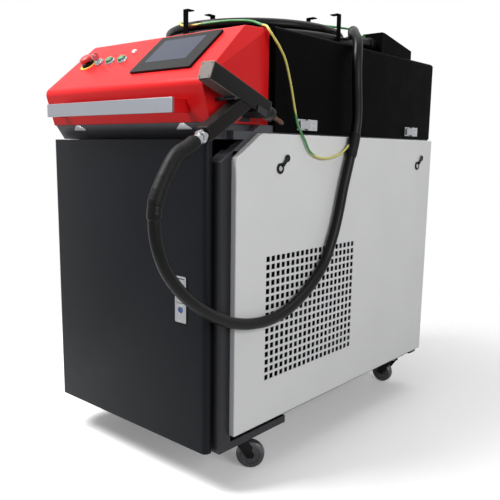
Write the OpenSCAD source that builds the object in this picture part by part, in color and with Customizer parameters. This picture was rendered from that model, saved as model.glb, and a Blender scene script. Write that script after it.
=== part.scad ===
// Mobile laser welding machine: a cabinet on four casters with a sloped operator
// console, a hood that carries the coiled hose, and a hand-held welding gun in a
// holder on the console's right side.
// Machine axes: X across, zero on the centre plane; Y back from the door's front
// face; Z up from the floor.

/* [Cabinet] */
// Width over the corner posts
frame_w = 642; // [600:2:700]
// Distance from the door's front face to the corner posts
frame_front = 26; // [25:1:40]
// Distance from the door's front face to the back of the cabinet
cabinet_d = 1032; // [980:2:1200]
// Height of the cabinet's underside above the floor
base_z = 105; // [100:1:130]
// Depth of the base tray's rim
tray_h = 20; // [15:1:30]
// Side of a square corner post
post_side = 40; // [30:1:45]
// Thickness of the frame's plates
plate_t = 3; // [2:0.5:4]
// Thickness of the covers' sheet
sheet_t = 2; // [1:0.5:3]
// Bend radius of the covers' outer edges
bend_r = 4; // [3:0.5:6]

/* [Front door] */
// Width of the frame left free on each side of the door
door_side = 21; // [20:1:40]
// Height of the door
door_h = 739; // [700:1:800]
// Depth of the door's pan
door_t = 20; // [14:1:22]

/* [Side panels] */
// Distance from the door's front face to a side panel's front edge
panel_front = 60; // [45:1:90]
// Height of a side panel's lower edge above the cabinet's underside
panel_foot = 37; // [25:1:50]
// How far a side panel stands out from the posts
panel_t = 16; // [10:1:24]
// Length of the corner cut off at the panel's top front
panel_cut_l = 88; // [60:1:110]
// Height of that corner cut
panel_cut_h = 57; // [40:1:80]
// Columns of ventilation holes
vent_columns = 20; // [4:1:22]
// Rows of ventilation holes
vent_rows = 16; // [4:1:18]
// Spacing of the ventilation holes
vent_pitch = 20; // [18:0.5:22]
// Side of a square ventilation hole
vent_hole = 13.5; // [6:0.5:15]

/* [Console] */
// Width of the console up to its nose
console_w = 608; // [560:2:640]
// Width of the console along its top edge
console_top_w = 574; // [500:2:600]
// How far the nose stands out in front of the door
nose_out = 18; // [5:1:40]
// Height of the nose above the console's underside
nose_h = 88; // [70:1:110]
// Slope of the control face
slope_angle = 41; // [35:1:48]
// Length of the control face up the slope
slope_len = 207; // [195:1:230]
// Distance from the door's front face to the back of the console
console_back = 206; // [200:1:230]
// Width of the touch screen's bezel
screen_w = 213; // [180:1:240]
// Height of the touch screen's bezel
screen_h = 145; // [120:1:150]
// Length of the push handle's bar
handle_w = 490; // [350:2:540]
// Height of the push handle's bar
handle_h = 33; // [25:1:40]

/* [Hood and hose] */
// How far the hood overhangs the frame on each side
hood_side = 4; // [0:1:10]
// Height of the hood
hood_h = 244; // [230:1:290]
// Outer diameter of the hose
hose_d = 27; // [20:0.5:28]
// Radius of the coil's outermost turn
coil_r = 276; // [270:1:282]
// Height of a hose hook
hook_h = 80; // [70:1:110]
// Diameter of the earth wire
wire_d = 6; // [4:0.5:8]

/* [Gun] */
// Length of the gun's square barrel
barrel_l = 200; // [180:1:225]
// Width of the barrel
barrel_w = 37; // [30:1:42]
// Height of the barrel
barrel_h = 39; // [34:1:44]
// Length of the grip
grip_l = 132; // [110:1:150]
// How steeply the stored gun points down
gun_tilt = 20.8; // [10:0.1:25]

/* [Casters] */
// Wheel diameter
wheel_d = 75; // [60:1:80]
// Wheel width
wheel_w = 24; // [18:1:28]
// Distance from the swivel axis back to the wheel's axle
caster_trail = 35; // [25:1:40]

/* [Hidden] */

// Every cut runs this far past the face that it opens
over = 1;
// Gap between pieces that pass each other
gap = 0.3;
// Radial gap between a shaft and its bore
fit = 0.05;
// Steps in a rounded corner
arc_steps = 6;
$fn = 48;

// Main planes, from the driving sizes
frame_x = frame_w / 2;
door_x = frame_x - door_side;
door_top = base_z + door_h;
seam = 2;
deck_z = door_top + seam;
deck_t = 20;
deck_top = deck_z + deck_t;
plinth_h = 16;
console_z = deck_top + plinth_h;
panel_x = frame_x + panel_t;
panel_z = base_z + panel_foot;
panel_top = deck_top - 2 * seam;
tray_back = cabinet_d - plate_t;
hood_x = frame_x + hood_side;
hood_top = deck_top + hood_h;
nose_z = console_z + nose_h;
crest_y = slope_len * cos(slope_angle) - nose_out;
crest_z = nose_z + slope_len * sin(slope_angle);

// Centre of the gun's rear cap: beside the hood or the console, whichever is wider, ahead of
// the door, above the console's foot
gun_beside = 20;
gun_ahead = 45;
gun_above = 101.7;
gun_x = max(hood_x, console_w / 2) + gun_beside;
gun_z = console_z + gun_above;

// The grip leaves the barrel's underside at grip_y and leans towards the rear cap
grip_y = 122;
grip_lean = 38;
gun_gland_l = 26;
gun_gland_r = 13;
function turned(v, a) = [v[0], v[1] * cos(a) - v[2] * sin(a), v[1] * sin(a) + v[2] * cos(a)];
grip_axis = turned([0, 0, -1], -grip_lean - gun_tilt);
gland_end = [gun_x, -gun_ahead, gun_z] + turned([0, grip_y, -barrel_h / 2], -gun_tilt)
    + grip_axis * (grip_l + gun_gland_l);

// The part's origin lies on the floor under the middle of its box, cords left out
lip_x = gun_x + barrel_w / 2 + gap + plate_t;
gland_y = gland_end[1] - gun_gland_r * cos(grip_lean + gun_tilt);
origin_x = (lip_x - panel_x) / 2;
origin_y = (cabinet_d + gland_y) / 2;

module machine() translate([-origin_x, -origin_y, 0]) children();

// Outlines and directions

function unit(v) = v / norm(v);
function flat(c) = [c[0], c[1]];

// One corner [x, y, radius] of an outline, between its neighbours, as points
function corner_arc(before, c, after) =
    c[2] == 0 ? [flat(c)] :
    let (
        u = unit(flat(before) - flat(c)),
        v = unit(flat(after) - flat(c)),
        half = acos(u * v) / 2,
        mid = flat(c) + unit(u + v) * c[2] / sin(half),
        from = flat(c) + u * c[2] / tan(half) - mid,
        to = flat(c) + v * c[2] / tan(half) - mid,
        a0 = atan2(from[1], from[0]),
        turn = (atan2(to[1], to[0]) - a0 + 540) % 360 - 180
    )
    [for (k = [0:arc_steps]) let (a = a0 + turn * k / arc_steps) mid + c[2] * [cos(a), sin(a)]];

// A whole outline of corners
function rounded(c) =
    [for (i = [0:len(c) - 1]) each corner_arc(c[(i + len(c) - 1) % len(c)], c[i], c[(i + 1) % len(c)])];

// A convex outline moved inwards by t
function inset(c, t) =
    [for (i = [0:len(c) - 1])
        let (
            u = unit(flat(c[(i + len(c) - 1) % len(c)]) - flat(c[i])),
            v = unit(flat(c[(i + 1) % len(c)]) - flat(c[i])),
            at = flat(c[i]) + unit(u + v) * t / sin(acos(u * v) / 2)
        )
        [at[0], at[1], max(c[i][2] - t, 0)]];

function box_corners(x0, y0, x1, y1, r) = [[x0, y0, r], [x1, y0, r], [x1, y1, r], [x0, y1, r]];

// Extrudes an outline of Y and Z along X, and one of X and Z along Y
module along_x(x0, length) translate([x0, 0, 0]) rotate([90, 0, 90])
    linear_extrude(length) children();
module along_y(y0, length) translate([0, y0 + length, 0]) rotate([90, 0, 0])
    linear_extrude(length) children();

// A block between two corners, and a cylinder along X or Y
module block(a, b) translate(a) cube(b - a);
module rod_x(p, r, length) translate(p) rotate([0, 90, 0]) cylinder(h = length, r = r);
module rod_y(p, r, length) translate(p) rotate([-90, 0, 0]) cylinder(h = length, r = r);
module rod_z(p, r, length) translate(p) cylinder(h = length, r = r);

// A tube of n sides swept along points; its rings turn as little as they can
function tangents(p) =
    [for (i = [0:len(p) - 1]) unit(p[min(i + 1, len(p) - 1)] - p[max(i - 1, 0)])];
function square_to(v, t) = unit(v - t * (v * t));
function carried(t, first) =
    [for (i = 0, n = square_to(first, t[0]); i < len(t);
        i = i + 1, n = i < len(t) ? square_to(n, t[i]) : n) n];
function sides_of(count, sides) = [
    for (i = [0:count - 2])
        for (k = [0:sides - 1])
            let (a = i * sides + k, b = i * sides + (k + 1) % sides)
            each [[a, a + sides, b], [b, a + sides, b + sides]]
];
module tube(points, r, sides, first) {
    t = tangents(points);
    n = carried(t, first);
    rings = [
        for (i = [0:len(points) - 1])
            for (k = [0:sides - 1])
                let (a = 360 * k / sides)
                points[i] + r * (n[i] * cos(a) + cross(t[i], n[i]) * sin(a))
    ];
    last = (len(points) - 1) * sides;
    polyhedron(
        rings,
        concat(
            sides_of(len(points), sides),
            [for (k = [1:sides - 2]) [0, k, k + 1]],
            [for (k = [1:sides - 2]) [last, last + k + 1, last + k]]
        ),
        convexity = 10
    );
}

// Cabinet frame

post_wall = 2;
post_y0 = frame_front;
post_y1 = cabinet_d - plate_t - post_side;
post_z = base_z + tray_h;
cut_slope = panel_cut_h / panel_cut_l;
cheek_drop = 49;
cheek_w = 24;

// Open tub between the posts, with a full-width box at its front and a flange at its rim that
// carries the rear posts
tub_in = 36;
tub_x = frame_x - tub_in;
flange_in = 12;
flange_x = frame_x - flange_in;
front_box_l = 254;
front_box_end = frame_front + front_box_l;
module base_tray() machine() color("dimgray") difference() {
    union() {
        block([-tub_x, frame_front, base_z], [tub_x, tray_back, post_z]);
        block([-frame_x, frame_front, base_z], [frame_x, front_box_end, post_z]);
        block([-flange_x, frame_front, post_z - plate_t], [flange_x, tray_back, post_z]);
    }
    block(
        [-tub_x + plate_t, frame_front + plate_t, base_z + plate_t],
        [tub_x - plate_t, tray_back - plate_t, post_z + over]
    );
    block(
        [-frame_x + plate_t, frame_front + plate_t, base_z + plate_t],
        [frame_x - plate_t, front_box_end - plate_t, post_z + over]
    );
}

module post(x0, y0) {
    outer = box_corners(x0, y0, x0 + post_side, y0 + post_side, bend_r);
    translate([0, 0, post_z]) linear_extrude(deck_z - post_z) difference() {
        polygon(rounded(outer));
        polygon(rounded(inset(outer, post_wall)));
    }
}

// Height of the slanted shoulder that runs from the front posts up to the console
function shoulder(y) = deck_z - cheek_drop + (y - frame_front) * cut_slope;
shoulder_y = frame_front + (console_z - deck_z + cheek_drop) / cut_slope;
post_end = frame_front + post_side;

module shoulder_cut() along_x(-frame_x - over, frame_w + 2 * over) polygon([
    [frame_front - over, shoulder(frame_front - over) - plate_t],
    [post_end + over, shoulder(post_end + over) - plate_t],
    [post_end + over, deck_z + over],
    [frame_front - over, deck_z + over]
]);

module corner_posts() machine() color("#26282c") {
    for (x0 = [-frame_x, frame_x - post_side]) {
        difference() {
            post(x0, post_y0);
            shoulder_cut();
        }
        post(x0, post_y1);
    }
}

// Deck over the posts, with a front band that leans out to the console's underside and
// a cheek on each side whose slanted top also caps the front posts
band_foot_y = 33;
band_lean = 25;
band_side = 24;
band_angle = atan2(console_z - deck_z, -band_lean);
band_len = norm([console_z - deck_z, band_lean]);
module mirrored_x() for (side = [0, 1]) mirror([side, 0, 0]) children();
module top_deck() machine() color("#1d1f23") {
    band_x = frame_x - band_side;
    difference() {
        union() {
            along_x(-band_x, 2 * band_x) polygon([
                [band_foot_y, deck_z], [band_foot_y - band_lean, console_z], [console_back, console_z],
                [console_back, deck_z]
            ]);
            block([-frame_x, post_end, deck_z], [frame_x, tray_back, deck_top]);
        }
        along_x(-band_x + plate_t, 2 * (band_x - plate_t)) polygon([
            [band_foot_y + plate_t, deck_z - over],
            [band_foot_y - band_lean + 2 * plate_t, console_z - plate_t],
            [console_back - plate_t, console_z - plate_t],
            [console_back - plate_t, deck_z - over]
        ]);
        block(
            [-frame_x + plate_t, console_back, deck_z - over],
            [frame_x - plate_t, tray_back - plate_t, deck_top - plate_t]
        );
    }
    mirrored_x() {
        along_x(frame_x - cheek_w, cheek_w) polygon([
            [post_end, shoulder(post_end)], [shoulder_y, console_z], [console_back, console_z],
            [console_back, shoulder(post_end) - plate_t], [post_end, shoulder(post_end) - plate_t]
        ]);
        along_x(frame_x - post_side, post_side) polygon([
            [frame_front, shoulder(frame_front)], [post_end, shoulder(post_end)],
            [post_end, shoulder(post_end) - plate_t], [frame_front, shoulder(frame_front) - plate_t]
        ]);
    }
}

// Rear panel with its louvre slots and the round inlet for the mains lead
inlet_r = 12.5;
inlet_x = 180;
inlet_up = 85;
inlet_z = base_z + inlet_up;
slot_up = 265;
slot_z = base_z + slot_up;
slot_count = 9;
slot_pitch = 30;
slot_w = 220;
slot_h = 8;
module rear_panel() machine() color("#26282c") difference() {
    block([-frame_x, tray_back, post_z], [frame_x, cabinet_d, deck_top]);
    for (k = [0:slot_count - 1])
        block(
            [-slot_w / 2, tray_back - over, slot_z + k * slot_pitch],
            [slot_w / 2, cabinet_d + over, slot_z + k * slot_pitch + slot_h]
        );
    rod_y([inlet_x, tray_back - over, inlet_z], inlet_r, plate_t + 2 * over);
}

// Side panels

// Centre of the fan, behind the right panel's ventilation holes
shelf_up = 475;
fan_in = 307;
fan_below = 168;
shelf_z = base_z + shelf_up;
fan_y = panel_front + fan_in;
fan_z = shelf_z - fan_below;
vent_y = fan_y - ((vent_columns - 1) * vent_pitch + vent_hole) / 2;
vent_z = fan_z - ((vent_rows - 1) * vent_pitch + vent_hole) / 2;
lock_front_in = 155;
lock_rear_in = 100;
lock_below = 82;
lock_front_y = panel_front + lock_front_in;
lock_rear_y = cabinet_d - lock_rear_in;
lock_z = panel_top - lock_below;
lock_r = 13;
lock_hole_r = 9;

function panel_corners() = [
    [panel_front, panel_z, bend_r], [cabinet_d, panel_z, bend_r], [cabinet_d, panel_top, bend_r],
    [panel_front + panel_cut_l, panel_top, bend_r], [panel_front, panel_top - panel_cut_h, bend_r]
];

// A pan with a folded rim, its face to +X; the face has a field of square holes
module side_panel() difference() {
    along_x(frame_x, panel_t) polygon(rounded(panel_corners()));
    along_x(frame_x - over, panel_t - sheet_t + over) polygon(rounded(inset(panel_corners(), sheet_t)));
    along_x(frame_x, panel_t + over)
        for (column = [0:vent_columns - 1])
            for (row = [0:vent_rows - 1])
                translate([vent_y + column * vent_pitch, vent_z + row * vent_pitch])
                    square(vent_hole);
}
module right_side_panel() machine() color("#c6c8ca") difference() {
    side_panel();
    for (y = [lock_front_y, lock_rear_y])
        rod_x([frame_x, y, lock_z], lock_hole_r, panel_t + over);
}
module left_side_panel() machine() color("#c6c8ca") mirror([1, 0, 0]) side_panel();

// Cam locks of the right panel: a black ring with a sunk core, an ear with a pin, and a
// dust cover that swings on the pin
lock_proud = 3;
core_r = 6.5;
core_sunk = 0.6;
ear_r = 5;
ear_off = [9, 9];
cover_pin_r = 2;
cover_len = 22;
cover_t = 2;
cover_end_r = 9;
lock_barrel = 18;
module lock_bodies() machine() color("#111214") for (y = [lock_front_y, lock_rear_y]) {
    difference() {
        union() {
            rod_x([panel_x, y, lock_z], lock_r, lock_proud);
            rod_x([panel_x, y + ear_off[0], lock_z + ear_off[1]], ear_r, lock_proud);
        }
        rod_x([panel_x + lock_proud - core_sunk, y, lock_z], core_r, over);
    }
    rod_x([panel_x - lock_barrel, y, lock_z], lock_hole_r - gap, lock_barrel);
    rod_x([panel_x, y + ear_off[0], lock_z + ear_off[1]], cover_pin_r, lock_proud + cover_t + 2 * gap);
}
module lock_cover(y) machine() color("#15161a")
    translate([panel_x + lock_proud + gap, y + ear_off[0], lock_z + ear_off[1]])
        rotate([atan2(ear_off[1], ear_off[0]), 0, 0]) difference() {
            union() {
                rod_x([0, 0, 0], ear_r, cover_t);
                rod_x([0, cover_len, 0], cover_end_r, cover_t);
                block([0, 0, -ear_r], [cover_t, cover_len, ear_r]);
            }
            rod_x([-over, 0, 0], cover_pin_r + fit, cover_t + 2 * over);
        }
module lock_cover_front() lock_cover(lock_front_y);
module lock_cover_rear() lock_cover(lock_rear_y);

// Front door, its lift-off hinges and its flush latch

door_round = 14;
hinge_r = 6;
hinge_pin_r = 3;
hinge_off = 7;
hinge_x = -door_x - hinge_off;
hinge_in = 2;
hinge_y = door_t - hinge_in;
hinge_half = 30;
hinge_inset = 100;
leaf_w = 26;
hinge_heights = [base_z + hinge_inset, door_top - hinge_inset - 2 * hinge_half];

plate_x = 219;
plate_w = 38;
plate_up = 312;
plate_z = base_z + plate_up;
latch_h = 112;
latch_t = 3;
tray_wall = 1.2;
lever_h = 60;
lever_pin_r = 1.5;
lever_pin_drop = 5;
lever_over_pin = 2.8;
latch_button_up = 31;
latch_button_z = plate_z + latch_button_up;
latch_button_r = 8;
latch_button_out = 4;
window_x = plate_w / 2 - bend_r;
window_z0 = plate_z + bend_r;
window_z1 = plate_z + latch_h - bend_r;
lever_pin_z = window_z1 - tray_wall - lever_pin_drop;

module front_door() machine() color("#2b2d33") difference() {
    translate([0, 0, base_z]) linear_extrude(door_h) polygon(rounded([
        [-door_x, 0, door_round], [door_x, 0, door_round], [door_x, door_t, 0], [-door_x, door_t, 0]
    ]));
    translate([0, 0, base_z + sheet_t]) linear_extrude(door_h - 2 * sheet_t) polygon(rounded([
        [-door_x + sheet_t, sheet_t, door_round - sheet_t],
        [door_x - sheet_t, sheet_t, door_round - sheet_t],
        [door_x - sheet_t, door_t + over, 0], [-door_x + sheet_t, door_t + over, 0]
    ]));
    block([plate_x - window_x, -over, window_z0], [plate_x + window_x, sheet_t + over, window_z1]);
}

// Fixed half: leaf on the post's front, lower knuckle and pin
module door_hinges() machine() color("#3a3c40") for (z = hinge_heights) {
    rod_z([hinge_x, hinge_y, z], hinge_r, hinge_half);
    rod_z([hinge_x, hinge_y, z + hinge_half], hinge_pin_r, hinge_half - plate_t);
    block([hinge_x - hinge_r, hinge_y, z], [hinge_x, frame_front, z + hinge_half]);
    block([hinge_x - hinge_r, frame_front - sheet_t, z], [hinge_x + leaf_w, frame_front, z + hinge_half]);
}

// Moving half: leaf on the door's edge and upper knuckle
module door_knuckles() machine() color("#3a3c40") for (z = hinge_heights) difference() {
    union() {
        rod_z([hinge_x, hinge_y, z + hinge_half + gap], hinge_r, hinge_half - gap);
        block(
            [-door_x - plate_t, door_round + gap, z + hinge_half + gap],
            [-door_x, hinge_y, z + 2 * hinge_half]
        );
    }
    rod_z([hinge_x, hinge_y, z + hinge_half], hinge_pin_r + fit, hinge_half + over);
}

// Faceplate and the tray behind it; the lever hangs in the tray on a cross pin
module door_latch_plate() machine() color("#e6e8ea") {
    difference() {
        union() {
            along_y(-latch_t, latch_t) polygon(rounded(box_corners(
                plate_x - plate_w / 2, plate_z, plate_x + plate_w / 2, plate_z + latch_h, bend_r
            )));
            block(
                [plate_x - window_x + gap, 0, window_z0 + gap],
                [plate_x + window_x - gap, door_t / 2, window_z1 - gap]
            );
        }
        block(
            [plate_x - window_x + gap + tray_wall, -latch_t - over, window_z1 - lever_h - tray_wall],
            [plate_x + window_x - gap - tray_wall, door_t / 2 - sheet_t, window_z1 - tray_wall]
        );
        rod_y(
            [plate_x, -latch_t - over, latch_button_z], latch_button_r + fit,
            latch_t + over + door_t / 2 - sheet_t
        );
    }
    rod_x([plate_x - window_x + gap, 0, lever_pin_z], lever_pin_r, 2 * (window_x - gap));
}
module door_latch_lever() machine() color("#d4d6d8") difference() {
    block(
        [plate_x - window_x + 2 * gap + tray_wall, -latch_t, window_z1 - lever_h],
        [plate_x + window_x - 2 * gap - tray_wall, sheet_t, lever_pin_z + lever_over_pin]
    );
    rod_x([plate_x - window_x, 0, lever_pin_z], lever_pin_r + fit, 2 * window_x);
}
module door_latch_button() machine() color("#2c4f9e")
    rod_y([plate_x, -latch_button_out, latch_button_z], latch_button_r, door_t / 2 - sheet_t);

// Console

console_round = 8;
nose_round = 22;
function console_corners() = [
    [band_foot_y - band_lean, console_z, sheet_t], [console_back, console_z, 0],
    [console_back, crest_z, 0], [crest_y, crest_z, console_round], [-nose_out, nose_z, nose_round]
];

// Each side leans in above a line from the nose's corner to the top rear corner
nose_corner = [console_w / 2, -nose_out, nose_z];
crest_corner = [console_top_w / 2, crest_y, crest_z];
rear_corner = [console_w / 2, console_back, crest_z];
lean = -unit(cross(crest_corner - nose_corner, rear_corner - nose_corner));
module console_lean(t) translate(nose_corner) rotate([0, acos(lean[2]), atan2(lean[1], lean[0])])
    translate([-console_w, -console_w, -t]) cube([2 * console_w, 2 * console_w, console_w]);
module console_solid(t) difference() {
    along_x(-console_w / 2 + t, console_w - 2 * t) polygon(rounded(inset(console_corners(), t)));
    mirrored_x() console_lean(t);
}

// Places children on the control face: x across, s up the slope from the nose
module on_slope(x, s) translate([x, -nose_out + s * cos(slope_angle), nose_z + s * sin(slope_angle)])
    rotate([slope_angle, 0, 0]) children();

// Places of the controls, across from the console's sides and up the slope
screen_in = 178;
screen_x = console_w / 2 - screen_in;
screen_s = 120;
row_s = 118;
estop_in = 80;
key_step = 48;
start_step = 48;
stop_step = 52;
lamp_step = 14;
estop_x = -console_w / 2 + estop_in;
key_x = estop_x + key_step;
start_x = key_x + start_step;
stop_x = start_x + stop_step;
lamp_x = stop_x + lamp_step;
lamp_s = 154;
bezel_t = 6;
control_stem = 25;
estop_ring_r = 27;
estop_hole_r = 11;
key_ring_r = 14.5;
key_hole_r = 10;
cap_r = 11;
bezel_r = 14.5;
cap_hole_r = 11.5;
lamp_r = 8;

module console_shell() machine() color("#d8232a") difference() {
    console_solid(0);
    console_solid(sheet_t);
    block(
        [-console_top_w / 2 + post_side, console_back - over - sheet_t, console_z + post_side],
        [console_top_w / 2 - post_side, console_back + over, crest_z - post_side]
    );
    on_slope(screen_x, screen_s)
        cube([screen_w - 4 * bezel_t, screen_h - 4 * bezel_t, control_stem], center = true);
    on_slope(estop_x, row_s) cylinder(h = control_stem, r = estop_hole_r + gap, center = true);
    on_slope(key_x, row_s) cylinder(h = control_stem, r = key_hole_r + gap, center = true);
    on_slope(start_x, row_s) cylinder(h = control_stem, r = cap_hole_r + gap, center = true);
    on_slope(stop_x, row_s) cylinder(h = control_stem, r = cap_hole_r + gap, center = true);
    on_slope(lamp_x, lamp_s) cylinder(h = control_stem, r = lamp_r - sheet_t + gap, center = true);
}

// Triangular catch brackets between the band and the console
foot_places_share = [-0.32, 0.36];
foot_w = 50;
foot_h = 16;
foot_t = 3;
foot_rim = 3;
module console_feet() machine() color("silver") for (share = foot_places_share)
    translate([share * 2 * door_x, band_foot_y, deck_z]) rotate([band_angle, 0, 0])
        translate([0, band_len - foot_h - gap, 0]) linear_extrude(foot_t) polygon([
            [-foot_w / 2, 0], [foot_w / 2, 0], [foot_w / 2, foot_rim], [foot_w / 8, foot_h],
            [-foot_w / 8, foot_h], [-foot_w / 2, foot_rim]
        ]);

// Push handle across the console's front
handle_y = -50;
handle_t = 8;
handle_round = 2;
handle_up = 19;
handle_z = console_z + handle_up;
arm_t = 4;
module handle_bar() machine() color("#a9adb2") along_y(handle_y, handle_t) polygon(rounded(
    box_corners(-handle_w / 2, handle_z, handle_w / 2, handle_z + handle_h, handle_round)
));
module handle_brackets() machine() color("#c81f26") difference() {
    for (side = [-1, 1])
        block(
            [side * (handle_w / 2 - arm_t) - arm_t / 2, handle_y + handle_t, handle_z + over],
            [side * (handle_w / 2 - arm_t) + arm_t / 2, band_foot_y, handle_z + handle_h - over]
        );
    along_x(-console_w / 2, console_w) polygon(rounded(console_corners()));
}

glass_w = 147;
glass_h = 93;
glass_x = -7;
glass_y = 9;
glass_t = 2;
module screen_bezel() machine() color("#101114") on_slope(screen_x, screen_s) difference() {
    union() {
        translate([-screen_w / 2, -screen_h / 2, 0]) linear_extrude(bezel_t)
            polygon(rounded(box_corners(0, 0, screen_w, screen_h, bend_r)));
        translate([0, 0, -control_stem / 2]) cube(
            [screen_w - 4 * bezel_t - 2 * gap, screen_h - 4 * bezel_t - 2 * gap, control_stem + bezel_t],
            center = true
        );
    }
    translate([glass_x, glass_y, bezel_t]) cube([glass_w, glass_h, 2 * glass_t], center = true);
}
module screen_glass() machine() color("#3b4048") on_slope(screen_x, screen_s)
    translate([glass_x, glass_y, bezel_t - glass_t / 2])
        cube([glass_w - gap, glass_h - gap, glass_t], center = true);

// Emergency stop: yellow disc, black body, and a red mushroom head on a sliding stem
estop_body_h = 8;
estop_travel = 4;
estop_stem_r = 6;
estop_head_r = 18;
estop_head_h = 11;
module estop_base() machine() on_slope(estop_x, row_s) {
    difference() {
        union() {
            color("#f2c500") cylinder(h = sheet_t, r = estop_ring_r);
            color("#151515") cylinder(h = estop_body_h, r = estop_head_r + sheet_t);
            color("#151515") translate([0, 0, -control_stem]) cylinder(h = control_stem, r = estop_hole_r);
        }
        translate([0, 0, -control_stem + sheet_t])
            cylinder(h = control_stem + estop_body_h, r = estop_stem_r + fit);
    }
}
module estop_head() machine() color("#d01c1c") on_slope(estop_x, row_s) {
    translate([0, 0, estop_body_h + estop_travel + gap]) rotate_extrude() polygon(rounded([
        [0, 0, 0], [estop_head_r - sheet_t, 0, 0], [estop_head_r, sheet_t, 0],
        [estop_head_r, estop_head_h, bend_r], [0, estop_head_h, 0]
    ]));
    translate([0, 0, -control_stem / 2])
        cylinder(h = control_stem / 2 + estop_body_h + 2 * estop_travel, r = estop_stem_r);
}

// Key switch and its key
key_ring_h = 8;
key_bow_r = 11;
key_bow_z = 20;
key_t = 2.5;
key_rotor_r = 8;
module key_switch() machine() color("#b8bbbe") on_slope(key_x, row_s) difference() {
    union() {
        cylinder(h = key_ring_h, r = key_ring_r);
        translate([0, 0, -control_stem]) cylinder(h = control_stem, r = key_hole_r);
    }
    translate([0, 0, -control_stem + sheet_t]) cylinder(h = control_stem + key_ring_h, r = key_rotor_r + fit);
}
module key() machine() color("#d9dadc") on_slope(key_x, row_s) {
    translate([0, 0, -control_stem / 2]) cylinder(h = control_stem / 2 + key_ring_h, r = key_rotor_r);
    translate([-key_t / 2, -key_t, 0]) cube([key_t, 2 * key_t, key_bow_z]);
    translate([-key_t / 2, 0, key_bow_z]) rotate([0, 90, 0]) difference() {
        cylinder(h = key_t, r = key_bow_r);
        translate([-key_bow_r / 2, 0, -over]) cylinder(h = key_t + 2 * over, r = key_bow_r / 4);
    }
}

// Start and stop buttons in their bezels
bezel_h = 5;
cap_h = 6;
module button_bezels() machine() color("#c9ccce")
    for (x = [start_x, stop_x]) on_slope(x, row_s) difference() {
        union() {
            cylinder(h = bezel_h, r = bezel_r);
            translate([0, 0, -control_stem]) cylinder(h = control_stem, r = cap_hole_r);
        }
        translate([0, 0, -control_stem + sheet_t]) cylinder(h = control_stem + bezel_h, r = cap_r + fit);
    }
module button_cap(x) on_slope(x, row_s)
    translate([0, 0, -control_stem / 2]) cylinder(h = control_stem / 2 + bezel_h + cap_h, r = cap_r);
module start_button() machine() color("#1f8a4c") button_cap(start_x);
module stop_button() machine() color("#1f8a4c") button_cap(stop_x);
module indicator_lamp() machine() color("#d5d7d9") on_slope(lamp_x, lamp_s) {
    cylinder(h = bezel_h, r = lamp_r);
    translate([0, 0, -control_stem / 2]) cylinder(h = control_stem / 2, r = lamp_r - sheet_t);
}

// Hood

hood_round = 10;
hood_flange = 16;
function hood_front(t) = [
    [-hood_x + t, deck_top + t, 0], [hood_x - t, deck_top + t, 0],
    [hood_x - t, hood_top - t, hood_round - t], [-hood_x + t, hood_top - t, hood_round - t]
];
function hood_profile(t) = [
    [console_back + t, deck_top + t, 0], [cabinet_d - t, deck_top + t, 0],
    [cabinet_d - t, hood_top - t, hood_round - t], [console_back + t, hood_top - t, 0]
];
module hood_solid(t) intersection() {
    along_y(console_back, cabinet_d - console_back) polygon(rounded(hood_front(t)));
    along_x(-hood_x, 2 * hood_x) polygon(rounded(hood_profile(t)));
}
module hood_shell() machine() color("#0e0f11") difference() {
    hood_solid(0);
    hood_solid(sheet_t);
    block(
        [-hood_x + hood_flange, console_back + hood_flange, deck_top - over],
        [hood_x - hood_flange, cabinet_d - hood_flange, deck_top + sheet_t + over]
    );
}

// Draw latches that hold the hood down on the right side
latch_up = 8;
latch_z = deck_top + latch_up;
latch_w = 84;
latch_tall = 27;
latch_front_in = 131;
latch_rear_in = 132;
latch_front_y = console_back + latch_front_in;
latch_rear_y = cabinet_d - latch_rear_in;
latch_pin_r = 2;
ear_t = 3;
lever_reach = 36;
knuckle_r = 4.5;
screw_r = 3;
latch_pin_x = hood_x + sheet_t + knuckle_r + over;
module hood_latch_base(y) {
    block([hood_x, y - latch_w / 2, latch_z], [hood_x + sheet_t, y + latch_w / 2, latch_z + latch_tall]);
    for (z = [latch_z, latch_z + latch_tall - ear_t])
        block([hood_x, y - 2 * knuckle_r, z], [latch_pin_x + latch_pin_r, y, z + ear_t]);
    rod_z([latch_pin_x, y - knuckle_r, latch_z], latch_pin_r, latch_tall);
    for (z = [latch_z + latch_tall / 4, latch_z + latch_tall * 3 / 4])
        rod_x([hood_x, y + latch_w / 3, z], screw_r, sheet_t + screw_r / 2);
}
module hood_latch_bases() machine() color("#b9bcc0") {
    hood_latch_base(latch_front_y);
    hood_latch_base(latch_rear_y);
}
module hood_latch_lever(y) machine() color("#dfe1e4") difference() {
    foot = latch_z + ear_t + gap;
    tall = latch_tall - 2 * ear_t - 2 * gap;
    union() {
        rod_z([latch_pin_x, y - knuckle_r, foot], knuckle_r, tall);
        translate([0, 0, foot]) linear_extrude(tall) polygon([
            [latch_pin_x, y], [latch_pin_x - sheet_t, y - lever_reach / 2],
            [latch_pin_x - 2 * sheet_t, y - lever_reach], [latch_pin_x, y - lever_reach],
            [latch_pin_x + 2 * sheet_t, y - lever_reach / 2], [latch_pin_x + 2 * sheet_t, y - knuckle_r]
        ]);
    }
    rod_z([latch_pin_x, y - knuckle_r, latch_z], latch_pin_r + fit, latch_tall);
}
module hood_latch_lever_front() hood_latch_lever(latch_front_y);
module hood_latch_lever_rear() hood_latch_lever(latch_rear_y);

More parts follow.
